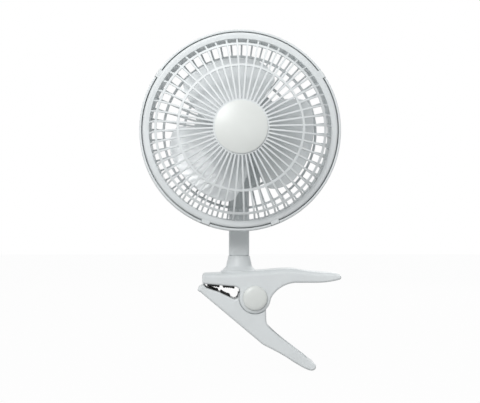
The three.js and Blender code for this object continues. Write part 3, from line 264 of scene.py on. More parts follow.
EAR_ROOM = EAR_RADIUS + EAR_GAP
LOWER_BEND = EAR_RADIUS / 2
LOWER_HOLLOW_START = 1.5 * LOWER_NOSE - LOWER_REACH
LOWER_SKIN = CLIP_WALL / cos(LOWER_BACK_SLOPE)
TILT_HEIGHT = HEAD_HEIGHT + HINGE[1]
NECK_BOTTOM = PEDESTAL_TOP + GAP
KNUCKLE_RADIUS = NECK_DEPTH / 2
HOUSING_START = DISH_DEPTH * sqrt(1 - (REAR_PLATE_RADIUS / DISH_RADIUS) ** 2) + GAP

# studio, in metres, but for the camera's place and the floor's drop
CAMERA_PLACE = (-14.8, -1021, 49.8)
CAMERA_RISE = 1.8
CAMERA_TURN = 1.45
AMBIENT_COLOUR = (0.97, 0.99, 1.0, 1)
AMBIENT_STRENGTH = 0.47
FLOOR_COLOUR = (0.45, 0.45, 0.45, 1)
FLOOR_WHITE = 0.97  # share of the plain white that the camera sees of the floor
FLOOR_HALF = 6
FLOOR_DROP = 0.3
LAMP_TARGET = (0.01, -0.03, 0.08)
LAMPS = {
    "key": ((-0.55, -1.4, 0.8), 0.6, 12.5),
    "top": ((-0.15, -0.7, 1.6), 0.9, 7),
    "back": ((0.6, 1.4, 0.9), 1.0, 7),
}


def jaw_underside(u):
    return JAW_RISE - (u + JAW_REACH) * tan(JAW_SLOPE)


def pad_face(u):
    return jaw_underside(u) - PAD_PROUD / cos(JAW_SLOPE)


def lower_jaw_top(u):
    along = (u + LOWER_REACH - LOWER_NOSE) / LOWER_JAW_RUN
    return LOWER_NOSE_HEIGHT - LOWER_JAW_FALL * along - LOWER_JAW_DIP * along * along


def lower_jaw_underside(u):
    return LOWER_NOSE_BASE - (u + LOWER_REACH - CLIP_WALL) * tan(LOWER_BACK_SLOPE)


def dome_depth(r):
    return -DOME_HEIGHT * sqrt(max(0.0, 1 - (r / DOME_RADIUS) ** 2))


def dish_depth(r):
    return DISH_DEPTH * sqrt(max(0.0, 1 - (r / DISH_RADIUS) ** 2))


# ---- outlines


class Outline:
    """A line of close points, drawn stretch by stretch."""

    def __init__(self, *start):
        self.points = [np.array(start, float)]

    def line(self, *end, steps=1):
        start, way = self.points[-1], np.array(end, float) - self.points[-1]
        self.points += [start + way * i / steps for i in range(1, steps + 1)]

    def follow(self, height, start, end, steps):
        """Points of a height along u, from just after start to end."""
        for i in range(1, steps + 1):
            u = start + (end - start) * i / steps
            self.line(u, height(u))

    def curve(self, *controls, steps=10):
        """A Bezier curve from the last point."""
        points = [self.points[-1]] + [np.array(c, float) for c in controls]
        for i in range(1, steps + 1):
            level = points
            t = i / steps
            while len(level) > 1:
                level = [(1 - t) * a + t * b for a, b in zip(level, level[1:])]
            self.points.append(level[0])

    def arc(self, centre, radius, start, end, steps=24):
        for i in range(steps + 1):
            angle = start + (end - start) * i / steps
            self.line(centre[0] + radius * cos(angle), centre[1] + radius * sin(angle))

    def spline(self, *through, steps=8):
        self.points.extend(through_points([self.points[-1], *through], steps)[1:])

    def distinct(self):
        kept = [p for i, p in enumerate(self.points) if norm(p - self.points[i - 1]) > 0.02]
        return np.array(kept)


def through_points(points, steps=8):
    """A Catmull-Rom curve through the points, as close points."""
    p = [np.array(q, float) for q in points]
    p = [p[0], *p, p[-1]]
    made = [p[1]]
    for a, b, c, d in zip(p, p[1:], p[2:], p[3:]):
        for i in range(1, steps + 1):
            t = i / steps
            v0, v1 = (c - a) / 2, (d - b) / 2
            made.append((2 * b - 2 * c + v0 + v1) * t**3 + (3 * c - 3 * b - 2 * v0 - v1) * t**2 + v0 * t + b)
    return made


def filleted(corners, closed=False, steps=4):
    """A bent line of (a, b) or (a, b, radius) corners, each corner rounded by its radius."""
    points, made = [np.array(corner[:2], float) for corner in corners], []
    for i, (here, corner) in enumerate(zip(points, corners)):
        if len(corner) < 3 or corner[2] == 0 or (not closed and i in (0, len(points) - 1)):
            made.append(here)
            continue
        before, after = points[i - 1] - here, points[(i + 1) % len(points)] - here
        lb, la = norm(before), norm(after)
        turn = pi - acos(np.clip(before @ after / (lb * la), -1, 1))
        reach = min(corner[2] * tan(turn / 2), 0.49 * lb, 0.49 * la)
        start, end = here + before * reach / lb, here + after * reach / la
        for k in range(steps + 1):
            t = k / steps
            made.append((1 - t) ** 2 * start + 2 * t * (1 - t) * here + t * t * end)
    return made


def rounded_rectangle(width, height, corner, steps=6):
    w, h = width / 2, height / 2
    return filleted([(w, -h, corner), (w, h, corner), (-w, h, corner), (-w, -h, corner)], True, steps)


# ---- meshes


def linked(name, data):
    """A new object in the scene."""
    obj = bpy.data.objects.new(name, data)
    bpy.context.scene.collection.objects.link(obj)
    return obj


def evaluated(obj):
    """A new mesh of an object with its modifiers applied."""
    depsgraph = bpy.context.evaluated_depsgraph_get()
    return bpy.data.meshes.new_from_object(obj.evaluated_get(depsgraph))


def mesh_piece(name, points, faces, place=HEAD):
    """A closed mesh from points in millimetres about a place: the middle of the head, if none is given."""
    mesh = bpy.data.meshes.new(name)
    points = np.add(points, place) * MM
    mesh.from_pydata(points.tolist(), [], [tuple(f) for f in faces])
    made = bmesh.new()
    made.from_mesh(mesh)
    bmesh.ops.remove_doubles(made, verts=made.verts, dist=1e-8)
    bmesh.ops.recalc_face_normals(made, faces=made.faces)
    made.to_mesh(mesh)
    made.free()
    return linked(name, mesh)


def bake(obj):
    """Applies the modifiers of a piece."""
    mesh = evaluated(obj)
    obj.modifiers.clear()
    obj.data = mesh
    return obj


def combine(body, add=(), cut=()):
    """Joins solids to a body, then takes others out of it."""
    for operation, tools in (("UNION", add), ("DIFFERENCE", cut)):
        for tool in tools:
            step = body.modifiers.new(operation, "BOOLEAN")
            step.operation = operation
            step.solver = "MANIFOLD"
            step.object = tool
    bake(body)
    for tool in (*add, *cut):
        bpy.data.objects.remove(tool)
    return body


def soften(obj, width, segments=2, angle=40):
    """Rounds the sharp edges of a piece."""
    bevel = obj.modifiers.new("edges", "BEVEL")
    bevel.width = width * MM
    bevel.segments = segments
    bevel.limit_method = "ANGLE"
    bevel.angle_limit = radians(angle)
    bevel.miter_outer = "MITER_ARC"
    return bake(obj)


def placed(axis, a, b, t):
    """The point that has a and b across an axis and t along it."""
    return {"X": (t, a, b), "Y": (a, t, b), "Z": (a, b, t)}[axis]


def stacked(name, verts, count, place):
    """A solid from rings of count points each, flat at both ends."""
    last = len(verts) - count
    faces = [range(count), range(last, len(verts))]
    for a in range(last):
        b = a + 1 if (a + 1) % count else a + 1 - count
        faces.append((a, b, b + count, a + count))
    return mesh_piece(name, verts, faces, place)


def smoothed(values):
    """Each value of a closed row averaged with its neighbours."""
    return (np.roll(values, 1) + values + np.roll(values, -1)) / 3


def inset_room(points, normals):
    """How far each point of a closed outline can move inwards before it meets another side."""
    gap = points[None, :, :] - points[:, None, :]
    ahead = np.einsum("ijk,ik->ij", gap, normals)
    square = (gap**2).sum(2)
    with np.errstate(divide="ignore", invalid="ignore"):
        room = np.where(ahead > 1e-6, square / (2 * ahead), np.inf)
    room = room.min(1)
    for _ in range(6):
        room = np.minimum(room, smoothed(room))
    return room


def slab(name, outline, low, high, rounding=0.0, steps=4, axis="Y", place=HEAD, crown=None):
    """An outline made solid from low to high along an axis, its rims rounded, by crown where they face up."""
    points = np.array(outline, float)
    turned = np.roll(points, -1, 0) - np.roll(points, 1, 0)
    area = (points[:, 0] * np.roll(points[:, 1], -1) - np.roll(points[:, 0], -1) * points[:, 1]).sum()
    normals = np.stack([-turned[:, 1], turned[:, 0]], 1) * (1 if area > 0 else -1)
    normals /= norm(normals, axis=1)[:, None]
    radius = np.full(len(points), float(rounding))
    if crown:
        upward = np.clip(-2.5 * normals[:, 1] - 1, 0, 1)
        for _ in range(12):
            upward = smoothed(upward)
        radius += (crown - rounding) * upward
    reach = np.minimum(radius, 0.8 * inset_room(points, normals)) if rounding else radius
    layers = []
    for k in range(steps + 1 if rounding else 1):
        turn = pi / 2 * (1 - k / steps)
        layers.append((reach * (1 - cos(turn)), radius * (1 - sin(turn))))
    rings = [(inset, low + rise) for inset, rise in layers]
    rings += [(inset, high - rise) for inset, rise in reversed(layers)]
    verts = []
    for inset, levels in rings:
        inner = points + normals * inset[:, None]
        verts += [placed(axis, a, b, t) for (a, b), t in zip(inner, levels)]
    return stacked(name, verts, len(points), place)


def spun(name, profile, segments=64, axis="Y", place=HEAD):
    """A profile of (radius, t) points turned about an axis; a profile that leaves the axis is closed."""
    verts, rows, faces = [], [], []
    for r, t in profile:
        first, count = len(verts), segments if r > 1e-9 else 1
        for k in range(count):
            angle = 2 * pi * k / segments
            verts.append(placed(axis, r * cos(angle), r * sin(angle), t))
        rows.append([first + k % count for k in range(segments)])
    if profile[0][0] > 0 and profile[-1][0] > 0:
        rows.append(rows[0])
    for one, two in zip(rows, rows[1:]):
        for k in range(segments):
            j = (k + 1) % segments
            face = dict.fromkeys((one[k], one[j], two[j], two[k]))
            if len(face) > 2:
                faces.append(face)
    return mesh_piece(name, verts, faces, place)


def rod(axis, radius, low, high, across=(0, 0), place=HEAD, segments=40, edge=0.0):
    """A cylinder along an axis, through a point across it."""
    profile = [(0, low), (radius, low, edge), (radius, high, edge), (0, high)]
    return spun("rod", filleted(profile), segments, axis, np.add(place, placed(axis, *across, 0)))


def block(x0, x1, y0, y1, z0, z1, angle=0.0, place=HEAD):
    """A box, turned about the Y axis by an angle that runs from +X to +Z."""
    c, s = cos(angle), sin(angle)
    corners = [(x, y, z) for x in (x0, x1) for y in (y0, y1) for z in (z0, z1)]
    points = [(x * c - z * s, y, x * s + z * c) for x, y, z in corners]
    faces = [(0, 1, 3, 2), (4, 6, 7, 5), (0, 4, 5, 1), (2, 3, 7, 6), (0, 2, 6, 4), (1, 5, 7, 3)]
    return mesh_piece("block", points, faces, place)


def tube(name, path, radius, sides, place):
    """A round tube with flat ends along close points."""
    path = np.array(path, float)
    along = np.gradient(path, axis=0)
    along /= norm(along, axis=1)[:, None]
    side = np.cross((0, 1, 0), along[0])
    verts = []
    for point, way in zip(path, along):
        side = side - way * (side @ way)
        side /= norm(side)
        up = np.cross(way, side)
        for k in range(sides):
            turn = 2 * pi * k / sides
            verts.append(point + radius * (cos(turn) * side + sin(turn) * up))
    return stacked(name, verts, sides, place)


# ---- finishes


def linear(value):
    share = value / 255
    return share / 12.92 if share <= 0.04045 else ((share + 0.055) / 1.055) ** 2.4


def put(node, values):
    """Sets the inputs of a shader node."""
    for name, value in values.items():
        node.inputs[name].default_value = value


def finish_of(name, colour, shade, roughness, grain, metallic=0.0, coat=0.0, streaks=(1, 1, 1), slot=""):
    """A procedural finish: a colour that drifts to a darker shade, with roughness and a fine grain that vary.

    roughness is a range, grain the scale and height of the bumps, and streaks stretch the noise on the axes.
    """
    material = bpy.data.materials.new(f"finish_{name}")
    material["slot"] = slot or name
    material.use_nodes = True
    nodes, links = material.node_tree.nodes, material.node_tree.links
    shader = nodes["Principled BSDF"]
    put(shader, {"Metallic": metallic, "Coat Weight": coat, "Coat Roughness": 0.12})
    stretch = nodes.new("ShaderNodeMapping")
    put(stretch, {"Scale": streaks})
    links.new(nodes.new("ShaderNodeTexCoord").outputs["Object"], stretch.inputs["Vector"])

    def by_noise(kind, driven, scale, detail, result, target):
        """A node that turns a noise into an input of the shader."""
        noise, node = nodes.new("ShaderNodeTexNoise"), nodes.new(f"ShaderNode{kind}")
        put(noise, {"Scale": scale, "Detail": detail})
        links.new(stretch.outputs["Vector"], noise.inputs["Vector"])
        links.new(noise.outputs["Fac"], node.inputs[driven])
        links.new(node.outputs[result], shader.inputs[target])
        return node

    light = [linear(c) for c in colour]
    tones = by_noise("ValToRGB", "Fac", BLOTCH, 4, "Color", "Base Color").color_ramp.elements
    for tone, position, share in zip(tones, NOISE_RANGE, (shade, 1)):
        tone.position = position
        tone.color = (*[c * share for c in light], 1)
    rough = by_noise("MapRange", "Value", BLOTCH * 7, 3, "Result", "Roughness")
    ends = ("From Min", "From Max", "To Min", "To Max")
    put(rough, dict(zip(ends, (*NOISE_RANGE, *roughness))))
    bump = by_noise("Bump", "Height", grain[0], 2, "Normal", "Normal")
    put(bump, {"Strength": 1.0, "Distance": grain[1] * MM})
    return material


BLOTCH = 28  # scale of the drift in colour
NOISE_RANGE = (0.3, 0.7)

white = finish_of("white_plastic", (226, 230, 231), 0.93, (0.4, 0.5), (1800, 0.04))
warm = finish_of("warm_plastic", (228, 231, 228), 0.93, (0.3, 0.38), (900, 0.02))
# the blades' white is painted brighter than the other white plastic to lift the shade that the cage throws on
# them; gloss and coat are the real finish
glossy_painted_bright = finish_of("blade_plastic", (243, 246, 247), 0.93, (0.16, 0.24), (500, 0.02), coat=0.4)
# satin copy of the white plastic: its coat and roughness are the real finish, its colour is painted brighter
# to lift the shade that falls on the housing cup inside the cage
satin_painted_bright = finish_of("satin_painted_bright", (241, 245, 246), 0.93, (0.25, 0.35), (900, 0.02), coat=0.2, slot="white_plastic")
rubber = finish_of("black_rubber", (24, 24, 25), 0.7, (0.75, 0.95), (2500, 0.12))
dark = finish_of("dark_plastic", (44, 46, 48), 0.8, (0.5, 0.65), (1800, 0.04))
steel = finish_of("steel", (190, 193, 198), 0.85, (0.22, 0.4), (1800, 0.04), 1.0, streaks=(1, 6, 1))
cast = finish_of("cast_metal", (168, 171, 174), 0.75, (0.5, 0.7), (1400, 0.15), 1.0)
bronze = finish_of("bronze", (176, 141, 87), 0.8, (0.4, 0.6), (2200, 0.1), 1.0)
copper = finish_of("enamelled_copper", (172, 92, 48), 0.8, (0.25, 0.4), (1500, 0.05), 0.9)
print_ink = finish_of("printed_grey", (120, 124, 128), 0.9, (0.5, 0.6), (1800, 0.04))


def paint(obj, material):
    obj.data.materials.clear()
    obj.data.materials.append(material)


def dress(obj, body, material, node, smooth=35):
    """Gives a piece its finish, smooth shading and its body, and hides the CAD node that it stands for."""
    paint(obj, material)
    obj.data.shade_smooth()
    obj.data.set_sharp_from_angle(angle=radians(smooth))
    even = obj.modifiers.new("normals", "WEIGHTED_NORMAL")
    even.keep_sharp = True
    bake(obj)
    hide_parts(node)
    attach(obj, body)


def keep(material, *nodes):
    """Leaves CAD nodes in place with a finish."""
    for name in nodes:
        paint(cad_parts[name], material)


# ---- clip


def pin_bore():
    return rod("Y", PIN_RADIUS + GAP, -HALF_CLIP - 1, HALF_CLIP + 1, place=PIVOT)


def upper_arm_outline():
    end, web, ear, corner = -JAW_REACH, -JAW_THROAT, EAR_RADIUS, JAW_CORNER
    reach, rise, lift = HANDLE_REACH, HANDLE_RISE, HANDLE_LIFT
    top, crown, low = BODY_HEIGHT, HANDLE_CROWN, jaw_underside(end)
    side = ear * cos(EAR_TOP)
    o = Outline(end + corner, low)
    o.follow(jaw_underside, end + corner, web, 24)
    o.curve((side, 0.96 * jaw_underside(web)), (side, ear * sin(EAR_TOP)), steps=12)
    o.arc((0, 0), ear, EAR_TOP, 2 * pi - radians(8), steps=44)
    o.curve((1.06 * ear, 0.2 * ear), (1.61 * ear, 0.9 * rise), (2.52 * ear, rise), steps=20)
    o.line(0.68 * reach, rise, steps=12)
    o.curve((0.86 * reach, rise), (0.975 * reach, rise + lift), steps=16)
    o.curve((1.005 * reach, rise + 1.4 * lift), (0.985 * reach, rise + 2.27 * lift), steps=8)
    handle = [(0.76, -0.45), (0.61, 0.1), (0.46, 0.95), (0.3, 1), (0.12, 0.4)]
    o.spline(
        (0.94 * reach, top - HANDLE_TIP_DROP),
        *[(along * reach, top + height * crown) for along, height in handle],
        (0.1 * end, top),
        (0.64 * end, top - 0.74 * NOSE_DROP),
        (0.93 * end, top - NOSE_DROP),
        steps=12,
    )
    o.curve((end, top - 1.1 * NOSE_DROP), (end, top - 2.1 * NOSE_DROP), steps=8)
    o.line(end, low + corner)
    o.curve((end, low), (end + corner, low), steps=6)
    return o.distinct()


def upper_ceiling():
    ceiling, reach, crown = BODY_HEIGHT - CLIP_WALL, HANDLE_REACH, HANDLE_CROWN
    return [
        (0.9 * reach, ceiling - 0.8 * HANDLE_TIP_DROP),
        *[(a * reach, ceiling + b * crown) for a, b in ((0.75, -0.5), (0.61, 0), (0.46, 0.85), (0.3, 0.9))],
        (0, ceiling - 0.5 * NOSE_DROP),
        (-0.64 * JAW_REACH, ceiling - 0.8 * NOSE_DROP),
        (CLIP_WALL - JAW_REACH, ceiling - 1.4 * NOSE_DROP),
    ]


def upper_arm_hollow():
    end, web = -JAW_REACH + CLIP_WALL, -JAW_THROAT
    floor = [(u, jaw_underside(u) + JAW_FLOOR) for u in (end, web)]
    return [*floor, (web, -2 * EAR_RADIUS), (0.9 * HANDLE_REACH, -2 * EAR_RADIUS), *upper_ceiling()]


def pedestal():
    """Flared seat of the neck, running out softly on the upper arm."""
    foot = BODY_HEIGHT - NOSE_DROP
    rise = PEDESTAL_TOP - BODY_HEIGHT
    flare = PEDESTAL_FOOT_RADIUS - PEDESTAL_NECK_RADIUS
    shares = [(1, -0.03), (0.8, 0.03), (0.56, 0.15), (0.32, 0.3), (0.22, 0.54), (0.12, 0.74), (0.03, 0.95)]
    side = through_points([(PEDESTAL_NECK_RADIUS + a * flare, BODY_HEIGHT + b * rise) for a, b in shares], 6)
    top = PEDESTAL_NECK_RADIUS - PEDESTAL_EDGE
    ends = [(0, foot), (PEDESTAL_FOOT_RADIUS, foot)], [(top, PEDESTAL_TOP), (0, PEDESTAL_TOP)]
    place = (PIVOT[0] + NECK_OFFSET, 0, PIVOT[2])
    return spun("pedestal", [*ends[0], *side, *ends[1]], 96, "Z", place)


def upper_arm():
    half, inner = HALF_CLIP, HALF_CLIP - CLIP_WALL
    body = slab("arm_upper", upper_arm_outline(), -half, half, CLIP_ROUND, 7, "Y", PIVOT, CLIP_CROWN)
    combine(body, cut=[slab("hollow", upper_arm_hollow(), -inner, inner, place=PIVOT)])
    bore = rod("Z", SPIGOT_RADIUS + GAP, 0, PEDESTAL_TOP + 1, place=NECK)
    combine(body, add=[pedestal()], cut=[bore, pin_bore()])
    dress(body, "clip", white, "clip_upper_arm")


def lower_arm_outline():
    tip, ear, throat = -LOWER_REACH, EAR_RADIUS, lower_jaw_top(-JAW_THROAT)
    reach, drop, jaw = LOWER_HANDLE_REACH, LOWER_HANDLE_DROP, LOWER_NOSE - LOWER_REACH
    nose_top = jaw_underside(-JAW_REACH) - 2 * GAP
    o = Outline(tip, 0.6 * nose_top)
    o.curve((tip + 0.1 * CLIP_WALL, 0.78 * nose_top), (tip + 1.6 * CLIP_WALL, 0.9 * nose_top), steps=6)
    o.line(-0.98 * JAW_REACH, nose_top)
    o.line(jaw, lower_jaw_top(jaw))
    o.follow(lower_jaw_top, jaw, jaw + 0.96 * LOWER_JAW_RUN, 16)
    o.curve((-EAR_ROOM, throat), (-EAR_ROOM, ear * sin(EAR_TOP)), steps=12)
    for across, down in ((0, 0.27), (0.7, 0.72), (0.715, 1.33)):
        o.line(across * ear, -down * ear)
    o.curve((0.73 * ear, -1.66 * ear), (0.93 * ear, -1.88 * ear), steps=8)
    o.curve((1.2 * ear, -2.18 * ear), (0.49 * reach, -0.592 * drop), steps=10)
    o.line(0.925 * reach, -0.87 * drop, steps=16)
    o.curve((reach, -0.905 * drop), (reach, -0.93 * drop), steps=8)
    o.curve((reach, -drop), (0.9 * reach, -0.988 * drop), steps=8)
    back = [(0.8, 0.955), (0.64, 0.878), (0.52, 0.812), (0.36, 0.735)]
    bend = (LOWER_BEND, lower_jaw_underside(LOWER_BEND))
    o.spline(*[(across * reach, -down * drop) for across, down in back], bend, steps=8)
    o.follow(lower_jaw_underside, LOWER_BEND, tip + CLIP_WALL, 30)
    o.curve((tip + 0.25 * CLIP_WALL, 0.48 * nose_top), (tip, 0.6 * nose_top), steps=6)
    return o.distinct()


def lower_floor():
    reach, drop, skin = LOWER_HANDLE_REACH, LOWER_HANDLE_DROP, LOWER_SKIN
    return [
        *[(u, lower_jaw_underside(u) + skin) for u in (LOWER_HOLLOW_START, LOWER_BEND)],
        *[(a * reach, skin - b * drop) for a, b in ((0.36, 0.735), (0.64, 0.878), (0.86, 0.96))],
    ]


def lower_arm_hollow():
    above, start = 1.24 * EAR_RADIUS, -1.15 * EAR_RADIUS
    middle = (start + LOWER_HOLLOW_START) / 2
    return [
        *lower_floor(),
        (0.9 * LOWER_HANDLE_REACH, -0.6 * LOWER_HANDLE_DROP),
        (0.6 * LOWER_HANDLE_REACH, above),
        (start, above),
        *[(u, lower_jaw_top(u) - LOWER_SKIN) for u in (start, middle, LOWER_HOLLOW_START)],
    ]


def lower_arm():
    wide = HALF_CLIP - CLIP_WALL
    cheek = wide - GAP

    def disc(radius, low, high, edge=0.0):
        return rod("Y", radius, low, high, place=PIVOT, segments=96, edge=edge)

    def hollow(half):
        return slab("hollow", lower_arm_hollow(), -half, half, place=PIVOT)

    body = slab("arm_lower", lower_arm_outline(), -HALF_CLIP, HALF_CLIP, CLIP_ROUND, 5, place=PIVOT)
    combine(body, cut=[disc(EAR_ROOM, -HALF_CLIP - 1, -cheek), disc(EAR_ROOM, cheek, HALF_CLIP + 1)])
    combine(body, add=[disc(CHEEK_RADIUS, -cheek, cheek, 0.4)])
    around_ears = combine(hollow(wide), cut=[disc(EAR_ROOM + CLIP_WALL, -HALF_CLIP, HALF_CLIP)])
    combine(body, cut=[around_ears, hollow(cheek - CLIP_WALL), pin_bore()])
    dress(body, "lower_clip", white, "clip_lower_arm")


def grooved(start, end, side):
    """A face from start to end with grooves across it, cut from above where side is 1, or from below."""
    start, end = np.array(start), np.array(end)
    length = norm(end - start)
    count = int(length // GROOVE_PITCH) - 1
    way = (end - start) / length
    out = side * np.array((-way[1], way[0]))
    margin = (length - count * GROOVE_PITCH) / 2
    points = [start]
    for i in range(count):
        middle = start + way * (margin + (i + 0.5) * GROOVE_PITCH)
        for along, depth in ((-0.45, 0), (-0.2, 1), (0.2, 1), (0.45, 0)):
            points.append(middle + way * along * GROOVE_PITCH - out * depth * GROOVE_DEPTH)
    return [*points, end]


def jaw_pad(name, body, node, back, face, side):
    """A rubber pad from its back, given from right to left, to its face: upwards where side is 1, or down."""
    right, left, half = back[0][0], back[-1][0], HALF_CLIP - PAD_SIDE
    ends = [(u, face(u)) for u in (left + PAD_CORNER, right - PAD_CORNER)]
    outline = [
        *back, (left, face(left) - side * PAD_CORNER), *grooved(*ends, side),
        (right, face(right) - side * PAD_CORNER),
    ]
    dress(slab(name, outline, -half, half, PAD_ROUND, 3, place=PIVOT), body, rubber, node)


def upper_pad(name, middle, length):
    back = [(u, jaw_underside(u) - GAP) for u in (middle + length / 2, middle - length / 2)]
    jaw_pad(f"pad_upper_{name}", "clip", f"upper_pad_{name}", back, pad_face, -1)


def lower_pad(name, middle, length):
    ends = (middle + length / 2, middle, middle - length / 2)
    back = [(u, lower_jaw_top(u) + LOWER_PAD_SEAT) for u in ends]

    def face(u):
        return min(height_at((back[0], back[-1]), u) + LOWER_PAD_PROUD, pad_face(u) - GAP)

    jaw_pad(f"pad_lower_{name}", "lower_clip", f"lower_pad_{name}", back, face, 1)


def pivot_cap(side, name):
    seat, edge = HALF_CLIP + GAP, CAP_RIM_EDGE
    rows = [(1, 0.32), (0.985, 0.48), (0.93, 0.64), (0.8, 0.79), (0.6, 0.9), (0.3, 0.975), (0, 1)]
    dome = through_points([(CAP_RADIUS * a, side * (seat + CAP_HEIGHT * b)) for a, b in rows], 5)
    rim = [(0, side * seat), (CAP_RADIUS - edge, side * seat), (CAP_RADIUS, side * (seat + edge))]
    cap = spun(f"cap_{name}", [*rim, *dome], 80, place=PIVOT)
    dress(cap, "clip", warm, f"pivot_cap_{name}")


def height_at(points, u):
    return np.interp(u, *zip(*sorted(points)))


def spring():
    """Torsion spring: leg under the upper handle, coil round the pin, leg on the lower handle."""

    def touch_angle(point, turn):
        return atan2(point[1], point[0]) + turn * acos(SPRING_RADIUS / hypot(*point))

    clear = SPRING_WIRE / 2 + GAP
    upper_end = (SPRING_LEG_REACH, height_at(upper_ceiling(), SPRING_LEG_REACH) - clear)
    lower_u = 0.75 * SPRING_LEG_REACH
    lower_end = (lower_u, height_at(lower_floor(), lower_u) + clear / cos(LOWER_BACK_SLOPE))
    start = touch_angle(upper_end, 1)
    swept = touch_angle(lower_end, -1) + 2 * pi - start + SPRING_TURNS * 2 * pi
    half = swept / (2 * pi) * SPRING_PITCH / 2
    count = round(32 * swept / (2 * pi))
    path = Outline(upper_end[0], -half, upper_end[1])
    for i in range(count + 1):
        angle, y = start + swept * i / count, half * (2 * i / count - 1)
        path.line(SPRING_RADIUS * cos(angle), y, SPRING_RADIUS * sin(angle), steps=1 if i else 10)
    path.line(lower_end[0], half, lower_end[1], steps=10)
    wire = tube("spring_wire", path.points, SPRING_WIRE / 2, 14, PIVOT)
    paint(wire, steel)
    wire.data.shade_smooth()
    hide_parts("clip_spring")
    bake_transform(wire)


# ---- neck

SPIGOT_END = min(PEDESTAL_TOP - SPIGOT_REACH, height_at(upper_ceiling(), NECK_OFFSET - WASHER_RADIUS) - GAP)


def neck_post():
    section = rounded_rectangle(NECK_WIDTH, NECK_DEPTH, NECK_CORNER)
    body = slab("neck", section, NECK_BOTTOM - 0.6 * GAP, TILT_HEIGHT, 0.3, 3, "Z", NECK)
    half = NECK_WIDTH / 2
    across = (0, TILT_HEIGHT)
    knuckle = rod("X", KNUCKLE_RADIUS, -half, half, across, NECK, 64, 0.8)
    spigot = rod("Z", SPIGOT_RADIUS, SPIGOT_END, NECK_BOTTOM + 1, place=NECK, segments=48)
    bolt = rod("X", TILT_BOLT[0] + GAP, -NECK_WIDTH, NECK_WIDTH, across, NECK)
    screw = rod("Z", SWIVEL_SCREW[0] + GAP, SPIGOT_END - 1, SPIGOT_END + 12, place=NECK)
    combine(body, add=[knuckle, spigot], cut=[bolt, screw])
    dress(body, "neck", white, "neck_post")


# ---- grilles


def lattice(name, outside, inside, rim, openings, first_rib):
    """A spun cage wall pierced between straight ribs.

    outside and inside are rows of (radius, y) out from the axis, rim the rows that join them at the edge, and
    openings the pairs of row numbers between which both faces are open.
    """
    profile = [*outside, *rim, *reversed(inside)]
    rows, total = len(profile), 3 * RIB_COUNT
    verts, faces = [], []
    for r, y in profile:
        half = asin(RIB_WIDTH / 2 / r) if r > RIB_WIDTH else 0.0
        for i in range(RIB_COUNT):
            for turn in (-half, half, RIB_PITCH / 2):
                angle = first_rib + i * RIB_PITCH + turn
                verts.append((r * cos(angle), y, r * sin(angle)))

    def at(row, k):
        return (row % rows) * total + k % total

    def wall(row, k, down, along):
        """A face between the outside and the inside, at the edge of an opening."""
        back = rows - 1 - row
        faces.append((at(row, k), at(row + down, k + along), at(back - down, k + along), at(back, k)))

    pierced = {row for start, end in openings for row in range(start, end)}
    for row in range(rows):
        open_here = row in pierced or rows - 2 - row in pierced
        for k in range(total):
            if open_here and k % 3:
                continue
            faces.append((at(row, k), at(row, k + 1), at(row + 1, k + 1), at(row + 1, k)))
    for start, end in openings:
        for k in range(1, total, 3):
            for row in range(start, end):
                wall(row, k, 1, 0)
                wall(row, k + 2, 1, 0)
            for row in (start, end):
                wall(row, k, 0, 1)
                wall(row, k + 1, 0, 1)
    return mesh_piece(name, verts, faces)


def cage(name, depths, middle, edges, steps, rim, rim_steps, first_rib):
    """A domed grille: a flat middle, then three rows of openings between ribs, parted by two rings.

    depths give each face's depth at a radius, middle the radii of rows in the flat part, edges the radii of
    that part, the rings and the rim, and rim the corners that join the faces at the outer edge.
    """
    start, one, two, end = edges
    half = RING_WIDTH / 2
    bounds = [start, one - half, one + half, two - half, two + half, end]
    radii, openings = list(middle), []
    for low, high, count in zip(bounds, bounds[1:], (steps[0], 1, steps[1], 1, steps[2])):
        if count > 1:
            openings.append((len(radii), len(radii) + count))
        radii += [low + (high - low) * i / count for i in range(count)]
    radii.append(end)
    outside, inside = [[(r, depth(max(r, start))) for r in radii] for depth in depths]
    edge = filleted([outside[-1], *rim, inside[-1]], steps=rim_steps)[1:-1]
    return soften(lattice(name, outside, inside, edge, openings, first_rib), 0.34, 2, 50)


def front_grille():
    outer, seat, front = RIM_RADIUS - RIM_LIP - RIM_JOINT, RIM_SEAT - GAP, -FRONT_RIM_PROUD
    shoulder, hub_face = FRONT_RING_OUTER + RING_WIDTH / 2, dome_depth(HUB_RADIUS)

    def dome_and_wall(back, end):
        """Depth of a face: a dome, and from the shoulder on a slanted wall to the rim."""
        start = dome_depth(shoulder) + back
        slope = (end - start) / (FRONT_RIM_INNER - shoulder)
        return lambda r: dome_depth(r) + back if r <= shoulder else start + (r - shoulder) * slope

    body = cage(
        "grille_front", (dome_and_wall(0, RIM_ROUND / 2 + front), dome_and_wall(RIB_DEPTH, seat)),
        (0, 10, 20), (HUB_RADIUS, FRONT_RING_INNER, FRONT_RING_OUTER, FRONT_RIM_INNER), (9, 6, 3),
        [(FRONT_RIM_INNER + 0.4, front, 0.9), (outer, front, 1.6 * FRONT_RIM_ROUND), (outer, seat, 0.3)],
        6, RIB_START,
    )
    peg = rod("Y", CAP_PEG_RADIUS + GAP, hub_face - RIB_DEPTH, hub_face + 2 * RIB_DEPTH)
    half, reach = TAB_WIDTH / 2, TAB_LENGTH / 2
    size = (outer - reach, outer + reach, RIM_ROUND / 4 + front, RIM_NOTCH - GAP, -half, half)
    tabs = [soften(block(*size, angle), 0.5, 3) for angle in TAB_ANGLES]
    combine(body, add=tabs, cut=[peg])
    dress(body, "head", white, "front_grille")


